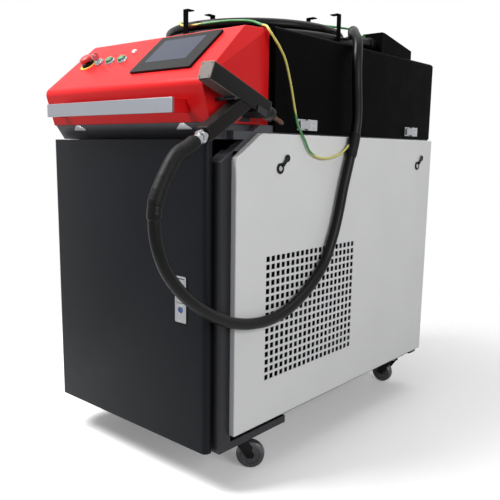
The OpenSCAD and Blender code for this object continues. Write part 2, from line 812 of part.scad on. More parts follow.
// Hose hooks: inner and outer posts on four sides of the coil, tops bent over it
coil_in = 309;
coil_y = console_back + coil_in;
turn_gap = 1;
coil_pitch = hose_d + turn_gap;
turns_in = 2.5;
hook_w = 18;
hook_t = 3;
hook_flange = 25;
hook_foot = 18;
hook_out = coil_r + hose_d / 2 + turn_gap + hook_t;
hook_in = coil_r - coil_pitch * turns_in - hose_d / 2 - turn_gap;
module hook() {
    block([0, -hook_w / 2, 0], [hook_t, hook_w / 2, hook_h]);
    block([0, -hook_w / 2, hook_h - hook_t], [hook_flange, hook_w / 2, hook_h]);
    block([hook_t - hook_foot, -hook_w / 2, 0], [hook_t, hook_w / 2, hook_t]);
}
module hose_hooks() machine() color("#17181b") for (a = [0, 90, 180, 270])
    translate([0, coil_y, hood_top]) rotate(a) {
        translate([hook_in - hook_t, 0, 0]) hook();
        translate([hook_out, 0, 0]) mirror([1, 0, 0]) hook();
    }

// Hose outlet box at the hood's right rear, and the gland in its front
outlet_in = 205;
outlet_y = coil_y + outlet_in;
outlet_w = 66;
outlet_l = 187;
outlet_h = 60;
outlet_back_h = 28;
outlet_flat = 16;
gland_up = 27;
outlet_z = hood_top + gland_up;
gland_r = 18;
gland_l = 26;
module outlet_box() machine() color("#141519") difference() {
    along_x(coil_r - outlet_w / 2, outlet_w) polygon([
        [outlet_y, hood_top], [outlet_y + outlet_l, hood_top],
        [outlet_y + outlet_l, hood_top + outlet_back_h],
        [outlet_y + outlet_flat, hood_top + outlet_h], [outlet_y, hood_top + outlet_h]
    ]);
    along_x(coil_r - outlet_w / 2 + sheet_t, outlet_w - 2 * sheet_t) polygon([
        [outlet_y + sheet_t, hood_top - over], [outlet_y + outlet_l - sheet_t, hood_top - over],
        [outlet_y + outlet_l - sheet_t, hood_top + outlet_back_h - sheet_t],
        [outlet_y + outlet_flat, hood_top + outlet_h - sheet_t],
        [outlet_y + sheet_t, hood_top + outlet_h - sheet_t]
    ]);
}
module hose_gland() machine() color("#1b1c1f") {
    rod_y([coil_r, outlet_y - gland_l, outlet_z], gland_r - sheet_t, gland_l);
    rod_y([coil_r, outlet_y - gland_l / 2, outlet_z], gland_r, gland_l / 2);
}

// The hose: from the gland, down onto the hood, inwards round the hooks, up a layer and
// outwards again, then straight off the coil
loop_rings = 24;
first_side = [0, 0, 1];
turns_climb = 0.5;
turns_all = 4.889;
layer_z1 = hood_top + hose_d / 2;
layer_z2 = layer_z1 + hose_d + turn_gap;
climb_start = turns_in - turns_climb / 2;
climb_end = turns_in + turns_climb / 2;
function coil_radius(t) = coil_r - coil_pitch * (t < turns_in ? t : 2 * turns_in - t);
function coil_height(t) =
    t < climb_start ? layer_z1 :
    t > climb_end ? layer_z2 :
    layer_z1 + (layer_z2 - layer_z1) * (1 - cos(180 * (t - climb_start) / turns_climb)) / 2;
function coil_point(t) = [
    coil_radius(t) * cos(-360 * t), coil_y + coil_radius(t) * sin(-360 * t), coil_height(t)
];
coil_loops = [for (i = [0:floor(turns_all * loop_rings)]) coil_point(i / loop_rings)];
coil_last = coil_loops[len(coil_loops) - 1];
coil_heading = unit(coil_last - coil_loops[len(coil_loops) - 2]);
coil_end = coil_last + coil_heading * hose_d;
entry_y = outlet_y - gland_l;
entry_shares = [[1, 1], [1.6, 0.75], [2.2, 0.25], [2.8, 0]];
hose_entry = [
    [coil_r, entry_y, outlet_z],
    for (share = entry_shares)
        [coil_r, entry_y - share[0] * hose_d, layer_z1 + share[1] * (outlet_z - layer_z1)],
    [coil_r, coil_y + 2 * hose_d, layer_z1]
];
coil_path = concat(hose_entry, coil_loops, [coil_end]);

// Least gap of the coil to itself, over rings more than a third of a loop apart
apart = loop_rings / 3;
coil_gap = min([
    for (i = [0:len(coil_path) - 1])
        for (j = [i + apart:len(coil_path) - 1])
            norm(coil_path[i] - coil_path[j])
]) - hose_d;
echo(coil_gap = coil_gap);

module hose_coil() machine() color("#1c1d20") tube(coil_path, hose_d / 2, 6, first_side);

// From the coil over the hood's edge, down past the side panel, forward under the gun
// and straight up into its gland
straight_shares = [2.6, 1, 0];
hose_to_gun = [for (share = straight_shares) gland_end + grip_axis * share * hose_d];
hose_points = [
    [274, 613, 1160], [292, 593, 1155], [312, 568, 1141], [335, 545, 1119], [347, 528, 1084],
    [352, 520, 1045], [355, 519, 1000], [355, 524, 955], [355, 526, 910], [355, 516, 855],
    [355, 496, 796], [355, 471, 724], [355, 450, 651], [355, 426, 590], [355, 387, 524],
    [355, 320, 469], [355, 244, 432], [355, 172, 417], [355, 98, 420], [354, 30, 436],
    [353, -30, 463], [352, -82, 496], [351, -128, 536], [350, -162, 580], [350, -184, 632],
    [349, -190, 684], [348, -180, 734]
];
hose_start = [coil_end, coil_end + coil_heading * hose_d];
module hose_drop() machine() color("#1c1d20")
    tube(concat(hose_start, hose_points, hose_to_gun), hose_d / 2, 8, first_side);

// Earth wire: from the outlet box over the coil, once round behind the front hooks, over
// the hood's edge and down to the hose
wire_points = [
    [250, 720, 1162], [250, 690, 1162], [250, 655, 1173], [247, 620, 1172], [240, 560, 1169],
    [222, 525, 1169], [203, 500, 1167], [180, 475, 1152], [150, 440, 1126], [110, 410, 1114],
    [60, 385, 1114], [0, 372, 1114], [-50, 362, 1122], [-78, 350, 1148], [-88, 325, 1168],
    [-80, 290, 1171], [-60, 256, 1166], [-25, 238, 1152], [20, 235, 1149], [70, 243, 1150],
    [120, 259, 1152], [165, 268, 1149], [205, 258, 1141], [240, 236, 1130], [268, 212, 1121],
    [284, 203, 1116], [297, 196.5, 1112.3], [309, 191, 1107], [319, 189.5, 1096],
    [328, 196.9, 1078.6], [334, 207.8, 1061.2], [336, 228.7, 1032.5], [336, 250.7, 980.5],
    [336, 267, 930], [335.5, 280, 893], [338.5, 285.5, 878], [342.5, 293, 863],
    [344, 303, 850], [344, 322, 825],
    [344, 350, 810], [344, 385, 804], [344, 420, 806], [345, 455, 813], [347, 482, 826],
    [350, 498, 840]
];
module ground_wire() machine() color("#7fae2e") tube(wire_points, wire_d / 2, 8, first_side);

// Gun, drawn along +Y from its rear cap, then tilted nose down

module gun() translate([gun_x, -gun_ahead, gun_z]) rotate([-gun_tilt, 0, 0]) children();
cap_edge = 3;
grip_w = 34;
grip_thick = 32;
pocket = 10;
gun_ring = 2;
holder_stem_r = 14;
trigger_w = 12;
trigger_h = 30;
trigger_down = 16;
trigger_proud = 7;
trigger_travel = 5;
module grip() translate([0, grip_y, -barrel_h / 2]) rotate([-grip_lean, 0, 0]) children();

module gun_barrel() machine() color("#2a2b2b") gun() difference() {
    along_y(0, barrel_l) polygon(rounded(
        box_corners(-barrel_w / 2, -barrel_h / 2, barrel_w / 2, barrel_h / 2, cap_edge)
    ));
    rod_y([0, barrel_l - pocket, 0], holder_stem_r + gap, pocket + over);
}
module gun_handle() machine() color("#33322e") gun() difference() {
    grip() difference() {
        translate([0, 0, -grip_l]) linear_extrude(grip_l + grip_w) polygon(rounded(
            box_corners(-grip_thick / 2, -grip_w / 2, grip_thick / 2, grip_w / 2, bend_r)
        ));
        block(
            [-trigger_w / 2 - gap, grip_w / 2 - pocket, -trigger_down - trigger_h - gap],
            [trigger_w / 2 + gap, grip_w / 2 + over, -trigger_down + gap]
        );
    }
    block([-barrel_w, -barrel_l, -barrel_h / 2], [barrel_w, 2 * barrel_l, 2 * barrel_h]);
}
module gun_trigger() machine() color("#8d1414") gun() grip() block(
    [-trigger_w / 2, grip_w / 2 - pocket + trigger_travel + gap, -trigger_down - trigger_h],
    [trigger_w / 2, grip_w / 2 + trigger_proud, -trigger_down]
);
module gun_gland() machine() color("#c4c6c8") gun() grip() {
    translate([0, 0, -grip_l - gun_gland_l / 2]) cylinder(h = gun_gland_l / 2, r = gun_gland_r + gun_ring);
    translate([0, 0, -grip_l - gun_gland_l]) cylinder(h = gun_gland_l / 2, r = gun_gland_r);
}

// Round nozzle holder and copper nozzle
holder_r = 17;
holder_l = 30;
nozzle_l = 45;
nozzle_r = 6;
nozzle_shank_r = 5;
nozzle_tip_r = 3;
nozzle_bore_r = 1;
module gun_nozzle_holder() machine() color("#1c1c1d") gun() difference() {
    union() {
        rod_y([0, barrel_l - pocket + gap, 0], holder_stem_r, pocket);
        rod_y([0, barrel_l, 0], holder_r, holder_l);
    }
    rod_y([0, barrel_l, 0], nozzle_shank_r + gap, holder_l + over);
}
module gun_nozzle() machine() color("#b5764a") gun() translate([0, barrel_l + holder_l, 0])
    rotate([-90, 0, 0]) difference() {
        rotate_extrude() polygon([
            [0, -holder_l / 2], [nozzle_shank_r, -holder_l / 2], [nozzle_shank_r, 0], [nozzle_r, 0],
            [nozzle_r, nozzle_l - nozzle_r], [nozzle_tip_r, nozzle_l], [0, nozzle_l]
        ]);
        translate([0, 0, -nozzle_l]) cylinder(h = 2 * nozzle_l + over, r = nozzle_bore_r);
    }

// Gun holder: a plate on the console's side, a peg and an arm under the barrel; the arm's
// end turns up as a lip
holder_plate_y = [60, 138];
holder_plate_up = [5, 67];
holder_plate_z = [console_z + holder_plate_up[0], console_z + holder_plate_up[1]];
arm_w = 34;
arm_y = 173;
lip_h = 12;
peg_y = 85;
peg_r = 4;
module gun_holder() machine() color("#3a3b3e") {
    plate_x0 = console_w / 2;
    arm_x0 = plate_x0 - gun_x;
    lip = barrel_w / 2 + gap;
    difference() {
        block(
            [plate_x0, holder_plate_y[0], holder_plate_z[0]],
            [plate_x0 + plate_t, holder_plate_y[1], holder_plate_z[1]]
        );
        for (y = [holder_plate_y[0] + 3 * screw_r, holder_plate_y[1] - 3 * screw_r])
            rod_x([plate_x0 - over, y, holder_plate_z[1] - 3 * screw_r], screw_r, plate_t + 2 * over);
    }
    gun() {
        block(
            [arm_x0, arm_y - arm_w / 2, -barrel_h / 2 - plate_t],
            [lip + plate_t, arm_y + arm_w / 2, -barrel_h / 2]
        );
        block(
            [lip, arm_y - arm_w / 2, -barrel_h / 2 - plate_t],
            [lip + plate_t, arm_y + arm_w / 2, -barrel_h / 2 + lip_h]
        );
        rod_x([arm_x0, peg_y, -barrel_h / 2 - peg_r], peg_r, barrel_w / 2 - arm_x0);
    }
}

// Casters: [pivot x, pivot y, heading of the trailing wheel]
caster_side = 69;
caster_front_in = 140;
caster_rear_in = 44;
caster_x = frame_x - caster_side;
caster_front_y = frame_front + caster_front_in;
caster_rear_y = cabinet_d - caster_rear_in;
caster_places = [
    [caster_x, caster_front_y, 36], [-caster_x, caster_front_y, 60],
    [caster_x, caster_rear_y, 175], [-caster_x, caster_rear_y, 233]
];
caster_plate_l = 80;
caster_plate_w = 60;
kingpin_r = 6;
head_r = 24;
head_h = 9;
arm_wall = 3;
fork_top = base_z - 2 * plate_t - head_h;
axle_r = 4;
wheel_gap = 2;
module caster_plates() machine() color("#9fa2a6") for (c = caster_places)
    translate([c[0], c[1], base_z - plate_t]) difference() {
        translate([-caster_plate_w / 2, -caster_plate_l / 2, 0])
            cube([caster_plate_w, caster_plate_l, plate_t]);
        translate([0, 0, -over]) cylinder(h = plate_t + 2 * over, r = kingpin_r + fit);
    }
module fork(c) machine() color("#26272a") translate([c[0], c[1], 0]) rotate(c[2]) {
    translate([0, 0, fork_top]) cylinder(h = base_z - plate_t - gap - fork_top, r = head_r);
    translate([0, 0, base_z - plate_t - over]) cylinder(h = plate_t + over - gap, r = kingpin_r);
    for (side = [-1, 1])
        along_y(side * (wheel_w / 2 + wheel_gap + arm_wall / 2) - arm_wall / 2, arm_wall) polygon([
            [-head_r / 2, fork_top + arm_wall], [head_r, fork_top + arm_wall],
            [caster_trail + 3 * axle_r, wheel_d / 2],
            [caster_trail + 2 * axle_r, wheel_d / 2 - 2 * axle_r],
            [caster_trail - 2 * axle_r, wheel_d / 2 - 2 * axle_r],
            [-head_r / 2, fork_top - 2 * arm_wall]
        ]);
    rod_y(
        [caster_trail, -wheel_w / 2 - wheel_gap - 2 * arm_wall, wheel_d / 2], axle_r,
        wheel_w + 2 * wheel_gap + 4 * arm_wall
    );
}
hub_out = 1;
module wheel(c) machine() color("#2a2b2d") translate([c[0], c[1], 0]) rotate(c[2])
    translate([caster_trail, 0, wheel_d / 2]) rotate([90, 0, 0]) difference() {
        rim = wheel_w / 2;
        web = rim - arm_wall;
        hub = rim + hub_out;
        rotate_extrude($fn = 64) polygon(rounded([
            [0, -hub, 0], [wheel_d / 5, -hub, 0], [wheel_d / 5, -web, 0], [wheel_d / 3, -web, 0],
            [wheel_d / 3, -rim, 0], [wheel_d / 2, -rim, bend_r], [wheel_d / 2, rim, bend_r],
            [wheel_d / 3, rim, 0], [wheel_d / 3, web, 0], [wheel_d / 5, web, 0],
            [wheel_d / 5, hub, 0], [0, hub, 0]
        ]));
        cylinder(h = 2 * wheel_w, r = axle_r + fit, center = true);
    }
module fork_front_right() fork(caster_places[0]);
module fork_front_left() fork(caster_places[1]);
module fork_rear_right() fork(caster_places[2]);
module fork_rear_left() fork(caster_places[3]);
module wheel_front_right() wheel(caster_places[0]);
module wheel_front_left() wheel(caster_places[1]);
module wheel_rear_right() wheel(caster_places[2]);
module wheel_rear_left() wheel(caster_places[3]);

// Inside the cabinet

shelf_lip = 15;
module equipment_shelf() machine() color("#6d7075") {
    block(
        [-frame_x + plate_t, post_y0 + post_side, shelf_z],
        [frame_x - plate_t, post_y1, shelf_z + plate_t]
    );
    for (y = [post_y0 + post_side, post_y1 - plate_t])
        block([-frame_x + plate_t, y, shelf_z - shelf_lip], [frame_x - plate_t, y + plate_t, shelf_z]);
}
laser_w = 440;
laser_l = 620;
laser_h = 150;
laser_y = 140;
laser_wall = 12;
grab_h = 50;
grab_out = 20;
module laser_source() machine() color("#8f9398") {
    foot = shelf_z + plate_t;
    difference() {
        block([-laser_w / 2, laser_y, foot], [laser_w / 2, laser_y + laser_l, foot + laser_h]);
        block(
            [-laser_w / 2 + laser_wall, laser_y + laser_wall, foot + laser_wall],
            [laser_w / 2 - laser_wall, laser_y + laser_l - laser_wall, foot + laser_h - laser_wall]
        );
    }
    mirrored_x() block(
        [laser_w / 2 - post_side, laser_y - grab_out, foot + grab_h],
        [laser_w / 2 - post_side + laser_wall, laser_y, foot + 2 * grab_h]
    );
}
tank_w = 240;
tank_l = 340;
tank_h = 300;
tank_y = 580;
cap_d = 60;
module chiller_tank() machine() color("#c9d3d8") {
    tank_x = -tub_x + plate_t + over;
    tank_top = base_z + plate_t + tank_h;
    block([tank_x, tank_y, base_z + plate_t], [tank_x + tank_w, tank_y + tank_l, tank_top]);
    rod_z([tank_x + tank_w / 2, tank_y + tank_l / 2, tank_top], cap_d / 2, cap_d / 3);
}
fan_inside = 59;
fan_x = frame_x - fan_inside;
fan_r = 140;
ring_gap = 6;
ring_l = 45;
shroud_w = 340;
shroud_foot = base_z + plate_t;
shaft_r = 4;
hub_r = 40;
hub_l = 34;
motor_r = 38;
blade_count = 5;
blade_t = 3;
blade_pitch = 35;
bar_w = 20;
module fan_shroud() machine() color("#4a4d51") {
    ring_r = fan_r + ring_gap;
    bar_end = ring_r + ring_gap;
    difference() {
        union() {
            block(
                [fan_x, fan_y - shroud_w / 2, shroud_foot],
                [fan_x + plate_t, fan_y + shroud_w / 2, shelf_z - gap]
            );
            rod_x([fan_x, fan_y, fan_z], ring_r + plate_t, ring_l);
        }
        rod_x([fan_x - over, fan_y, fan_z], ring_r, ring_l + 2 * over);
    }
    // Cross bars, motor and shaft
    block([fan_x - plate_t, fan_y - bar_end, fan_z - bar_w / 2], [fan_x, fan_y + bar_end, fan_z + bar_w / 2]);
    block([fan_x - plate_t, fan_y - bar_w / 2, fan_z - bar_end], [fan_x, fan_y + bar_w / 2, fan_z + bar_end]);
    rod_x([fan_x - motor_r, fan_y, fan_z], motor_r, motor_r);
    rod_x([fan_x, fan_y, fan_z], shaft_r, hub_l + bend_r);
    // Condenser core behind the motor
    block(
        [fan_x - 2 * motor_r, fan_y - shroud_w / 2, shroud_foot],
        [fan_x - motor_r, fan_y + shroud_w / 2, shelf_z - shelf_lip - gap]
    );
}
module fan_blades() machine() color("#1e1f22") difference() {
    translate([fan_x + bend_r, fan_y, fan_z]) rotate([0, 90, 0]) {
        cylinder(h = hub_l, r = hub_r);
        for (k = [0:blade_count - 1])
            rotate(360 * k / blade_count) translate([hub_r - sheet_t, 0, hub_l / 2])
                rotate([blade_pitch, 0, 0]) translate([0, -hub_r / 2, -blade_t / 2])
                    cube([fan_r - hub_r - sheet_t, hub_r, blade_t]);
    }
    rod_x([fan_x, fan_y, fan_z], shaft_r + fit, hub_l + 2 * bend_r);
}

base_tray();
corner_posts();
top_deck();
rear_panel();
right_side_panel();
left_side_panel();
front_door();
door_hinges();
door_knuckles();
door_latch_plate();
door_latch_lever();
door_latch_button();
console_shell();
console_feet();
handle_bar();
handle_brackets();
screen_bezel();
screen_glass();
estop_base();
estop_head();
key_switch();
key();
button_bezels();
start_button();
stop_button();
indicator_lamp();
hood_shell();
hood_latch_bases();
hood_latch_lever_front();
hood_latch_lever_rear();
hose_hooks();
outlet_box();
hose_gland();
hose_coil();
hose_drop();
ground_wire();
gun_barrel();
gun_handle();
gun_nozzle_holder();
gun_nozzle();
gun_trigger();
gun_gland();
gun_holder();
caster_plates();
fork_front_right();
fork_front_left();
fork_rear_right();
fork_rear_left();
wheel_front_right();
wheel_front_left();
wheel_rear_right();
wheel_rear_left();
lock_bodies();
lock_cover_front();
lock_cover_rear();
equipment_shelf();
laser_source();
chiller_tank();
fan_shroud();
fan_blades();
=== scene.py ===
import math

import bmesh
import bpy
from mathutils import Matrix, Vector


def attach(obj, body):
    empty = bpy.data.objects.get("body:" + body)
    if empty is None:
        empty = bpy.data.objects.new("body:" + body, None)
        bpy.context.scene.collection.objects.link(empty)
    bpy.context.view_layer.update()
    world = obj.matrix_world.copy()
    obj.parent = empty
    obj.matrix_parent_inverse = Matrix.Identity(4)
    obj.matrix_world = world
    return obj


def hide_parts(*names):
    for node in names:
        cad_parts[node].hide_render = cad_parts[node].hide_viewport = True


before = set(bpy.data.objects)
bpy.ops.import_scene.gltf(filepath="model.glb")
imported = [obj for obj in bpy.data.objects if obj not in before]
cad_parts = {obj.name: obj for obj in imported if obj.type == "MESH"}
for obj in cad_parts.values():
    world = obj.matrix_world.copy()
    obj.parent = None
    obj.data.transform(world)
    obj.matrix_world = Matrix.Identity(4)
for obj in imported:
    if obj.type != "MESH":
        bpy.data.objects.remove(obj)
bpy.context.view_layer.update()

bpy.context.scene.view_settings.view_transform = "Standard"

# Camera -----------------------------------------------------------------------
# It stands off the machine's right front corner, a little below the side panel's top edge, and
# looks slightly down. Its lens and its small shift are those of the photograph.

yaw, pitch, roll = 0.70963, 0.16637, 0.0150
camera_place = (1.2801, -1.4711, 0.824)
frame_px, focal_px, middle_px = 500, 633.09, (253.15, 255.98)
ahead = Vector((
    -math.sin(yaw) * math.cos(pitch), math.cos(yaw) * math.cos(pitch), -math.sin(pitch),
))
level = Vector((math.cos(yaw), math.sin(yaw), 0))
above = level.cross(ahead)
across = math.cos(roll) * level + math.sin(roll) * above
upward = -math.sin(roll) * level + math.cos(roll) * above
lens = bpy.data.cameras.new("camera")
lens.sensor_width = 36
lens.lens = focal_px / frame_px * lens.sensor_width
lens.shift_x = -(middle_px[0] - frame_px / 2) / frame_px
lens.shift_y = (middle_px[1] - frame_px / 2) / frame_px
lens.clip_end = 100
camera = bpy.data.objects.new("camera", lens)
camera.matrix_world = (
    Matrix.Translation(camera_place) @ Matrix((across, upward, -ahead)).transposed().to_4x4()
)
bpy.context.scene.collection.objects.link(camera)
bpy.context.scene.camera = camera

# Hose -------------------------------------------------------------------------
# A black rubber hose, 27 mm thick, carries the fibre, the gas and the water to the gun. It is
# one length, wound on the hood in two layers, with a thicker sleeve pulled over its gun end
# and a tape wrap where the earth wire joins it.

hose_r = 13.5
hose_d = 2 * hose_r / 1000
coil_r, coil_y, coil_z = 276, 515, 1123.5
coil_turns, turn_gap, turn_steps = 4.875, 28, 96
gland_y, gland_z = 694, 1137
sleeve_length = 0.19


def spot(x, y, z):
    """A place measured in millimetres from the door's front and the floor."""
    return Vector((x - 14.9, y - 476.121, z)) / 1000


def smooth_route(points, steps):
    """A smooth line through the points, cut into steps between each two."""
    line = [points[0] * 2 - points[1], *points, points[-1] * 2 - points[-2]]
    route = []
    for a, b, c, d in zip(line, line[1:], line[2:], line[3:]):
        for k in range(steps):
            t = k / steps
            route.append(0.5 * (
                2 * b + (c - a) * t + (2 * a - 5 * b + 4 * c - d) * t ** 2
                + (3 * b - a - 3 * c + d) * t ** 3
            ))
    return route + [points[-1]]


def run_length(route):
    """The length of a route, in metres."""
    return sum((b - a).length for a, b in zip(route, route[1:]))


def placed(name, data):
    """A new object of the data, standing at the origin."""
    piece = bpy.data.objects.new(name, data)
    bpy.context.scene.collection.objects.link(piece)
    return piece


def tube(name, route, radii, sides=20):
    """A closed round tube along the route; its UV map runs round and along it in metres."""
    mesh = bpy.data.meshes.new(name)
    bm = bmesh.new()
    uv = bm.loops.layers.uv.new("along")
    normal = Vector((0.31, 0.2, 0.93))
    rings, far = [], [0.0]
    for i, p in enumerate(route):
        way = (route[min(i + 1, len(route) - 1)] - route[max(i - 1, 0)]).normalized()
        normal = (normal - way * way.dot(normal)).normalized()
        side = way.cross(normal)
        r = radii[i] / 1000
        rings.append([
            bm.verts.new(p + r * (normal * math.cos(a) + side * math.sin(a)))
            for a in (2 * math.pi * k / sides for k in range(sides))
        ])
        if i:
            far.append(far[-1] + (p - route[i - 1]).length)
    for i in range(len(rings) - 1):
        for k in range(sides):
            n = (k + 1) % sides
            face = bm.faces.new((rings[i][k], rings[i][n], rings[i + 1][n], rings[i + 1][k]))
            face.smooth = True
            for loop, (u, v) in zip(face.loops, ((k, i), (k + 1, i), (k + 1, i + 1), (k, i + 1))):
                loop[uv].uv = (u / sides, far[v])
    bm.faces.new(list(reversed(rings[0])))
    bm.faces.new(rings[-1])
    bmesh.ops.recalc_face_normals(bm, faces=bm.faces)
    bm.to_mesh(mesh)
    bm.free()
    return placed(name, mesh)


def add(tree, kind, sockets, **settings):
    """Adds a node; a socket is given a value or the socket that feeds it."""
    made = tree.nodes.new(kind)
    for key, value in settings.items():
        setattr(made, key, value)
    for key, value in sockets.items():
        if isinstance(value, bpy.types.NodeSocket):
            tree.links.new(value, made.inputs[key])
        else:
            made.inputs[key].default_value = value
    return made


def new_group(name, inputs, outputs):
    """A shader node group with named sockets: (name, kind, value)."""
    tree = bpy.data.node_groups.new(name, "ShaderNodeTree")
    for label, kind, value in inputs:
        made = tree.interface.new_socket(
            name=label, in_out="INPUT", socket_type="NodeSocket" + kind)
        made.default_value = value
    for label, kind in outputs:
        tree.interface.new_socket(name=label, in_out="OUTPUT", socket_type="NodeSocket" + kind)
    return tree, tree.nodes.new("NodeGroupInput").outputs, tree.nodes.new("NodeGroupOutput").inputs


# Paint, rubber and bare metal share one set of effects: cloudy colour, fine grain, finger
# smudges, edges rubbed pale, and dust on what faces up. On the gun and the push handle the
# pale edges are painted highlight as well as wear
surface, given, result = new_group("surface_detail", [
    ("Colour", "Color", (0.5, 0.5, 0.5, 1)), ("Edge colour", "Color", (0.5, 0.5, 0.5, 1)),
    ("Dust colour", "Color", (0.5, 0.48, 0.45, 1)), ("Mottling", "Float", 0.05),
    ("Edge wear", "Float", 0.3), ("Edge radius", "Float", 0.001), ("Dust", "Float", 0.1),
    ("Roughness", "Float", 0.5), ("Smudges", "Float", 0.15), ("Grain scale", "Float", 900),
    ("Grain depth", "Float", 0.05), ("Stretch", "Vector", (1, 1, 1)),
], [("Colour", "Color"), ("Roughness", "Float"), ("Normal", "Vector")])
coords = add(surface, "ShaderNodeTexCoord", {}).outputs["Object"]
facing = add(surface, "ShaderNodeNewGeometry", {}).outputs["Normal"]
rounded = add(surface, "ShaderNodeBevel", {
    "Radius": given["Edge radius"]}, samples=4).outputs["Normal"]
pulled = add(surface, "ShaderNodeVectorMath", {
    0: coords, 1: given["Stretch"]}, operation="MULTIPLY").outputs[0]
grain = add(surface, "ShaderNodeTexNoise", {
    "Vector": pulled, "Scale": given["Grain scale"], "Detail": 3.0}).outputs["Fac"]
clouds = add(surface, "ShaderNodeTexNoise", {
    "Vector": coords, "Scale": 6.0, "Detail": 5.0}).outputs["Fac"]
smears = add(surface, "ShaderNodeTexNoise", {
    "Vector": coords, "Scale": 21.0, "Detail": 6.0, "Distortion": 0.8}).outputs["Fac"]
swing = add(surface, "ShaderNodeMath", {0: clouds, 1: 0.5}, operation="SUBTRACT").outputs[0]
swing = add(surface, "ShaderNodeMath", {0: swing, 1: 4.0}, operation="MULTIPLY").outputs[0]
shade = add(surface, "ShaderNodeMath", {
    0: swing, 1: given["Mottling"], 2: 1.0}, operation="MULTIPLY_ADD").outputs[0]
colour = add(surface, "ShaderNodeVectorMath", {
    0: given["Colour"], "Scale": shade}, operation="SCALE").outputs[0]
bent = add(surface, "ShaderNodeVectorMath", {
    0: rounded, 1: facing}, operation="DOT_PRODUCT").outputs["Value"]
edge = add(surface, "ShaderNodeMapRange", {
    "Value": bent, "From Min": 0.995, "From Max": 0.86, "To Min": 0.0, "To Max": 1.0}).outputs[0]
chips = add(surface, "ShaderNodeMapRange", {
    "Value": smears, "From Min": 0.38, "From Max": 0.6, "To Min": 0.15, "To Max": 1.0}).outputs[0]
# Pale edges: rubbed wear, and where a material sets them strong and light, painted highlight too
worn_and_highlit_edge = add(surface, "ShaderNodeMath", {0: edge, 1: chips}, operation="MULTIPLY").outputs[0]
worn_and_highlit_edge = add(surface, "ShaderNodeMath", {
    0: worn_and_highlit_edge, 1: given["Edge wear"]}, operation="MULTIPLY").outputs[0]
colour = add(surface, "ShaderNodeMix", {
    0: worn_and_highlit_edge, 6: colour, 7: given["Edge colour"]}, data_type="RGBA").outputs[2]
height = add(surface, "ShaderNodeSeparateXYZ", {0: facing}).outputs["Z"]
lying = add(surface, "ShaderNodeMapRange", {
    "Value": height, "From Min": 0.3, "From Max": 0.95, "To Min": 0.0, "To Max": 1.0}).outputs[0]
dusty = add(surface, "ShaderNodeMath", {0: lying, 1: smears}, operation="MULTIPLY").outputs[0]
dusty = add(surface, "ShaderNodeMath", {
    0: dusty, 1: given["Dust"]}, operation="MULTIPLY").outputs[0]
colour = add(surface, "ShaderNodeMix", {
    0: dusty, 6: colour, 7: given["Dust colour"]}, data_type="RGBA").outputs[2]
greasy = add(surface, "ShaderNodeMath", {0: smears, 1: 0.5}, operation="SUBTRACT").outputs[0]
gloss = add(surface, "ShaderNodeMath", {
    0: greasy, 1: given["Smudges"], 2: given["Roughness"]}, operation="MULTIPLY_ADD").outputs[0]
gloss = add(surface, "ShaderNodeMath", {
    0: gloss, 1: dusty}, operation="ADD", use_clamp=True).outputs[0]
relief = add(surface, "ShaderNodeMath", {
    0: grain, 1: given["Grain depth"]}, operation="MULTIPLY").outputs[0]
bumped = add(surface, "ShaderNodeBump", {
    "Strength": 1.0, "Distance": 0.001, "Height": relief, "Normal": rounded}).outputs[0]
surface.links.new(colour, result["Colour"])
surface.links.new(gloss, result["Roughness"])
surface.links.new(bumped, result["Normal"])


def finish(name, colour, roughness, edge=None, metallic=0.0, coat=0.0, specular=0.4, **detail):
    """A material on the shared effects; detail gives their amounts by name."""
    made = bpy.data.materials.new(name)
    made.use_nodes = True
    tree = made.node_tree
    shader = tree.nodes["Principled BSDF"]
    shader.inputs["Metallic"].default_value = metallic
    shader.inputs["Coat Weight"].default_value = coat
    shader.inputs["Coat Roughness"].default_value = 0.12
    shader.inputs["Specular IOR Level"].default_value = specular
    effects = add(tree, "ShaderNodeGroup", {}, node_tree=surface)
    effects.inputs["Colour"].default_value = (*colour, 1)
    effects.inputs["Edge colour"].default_value = (*(edge or colour), 1)
    effects.inputs["Roughness"].default_value = roughness
    for key, value in detail.items():
        effects.inputs[key.replace("_", " ").capitalize()].default_value = value
    tree.links.new(effects.outputs["Colour"], shader.inputs["Base Color"])
    tree.links.new(effects.outputs["Roughness"], shader.inputs["Roughness"])
    tree.links.new(effects.outputs["Normal"], shader.inputs["Normal"])
    return made


def keep(piece, material, body, slot, *nodes):
    """Gives a finished piece its material, its body and the solid that it stands for."""
    if material:
        piece.data.materials.clear()
        piece.data.materials.append(material)
    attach(piece, body)
    if nodes:
        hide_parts(*nodes)


def coil_point(t):
    """The hose's middle after t turns: inwards on the hood, then up a layer and outwards."""
    r = coil_r - turn_gap * (t if t < 2.5 else 5 - t)
    climb = min(max((t - 2.25) / 0.5, 0), 1)
    a = -2 * math.pi * t
    return spot(
        r * math.cos(a), coil_y + r * math.sin(a),
        coil_z + turn_gap * (1 - math.cos(math.pi * climb)) / 2,
    )


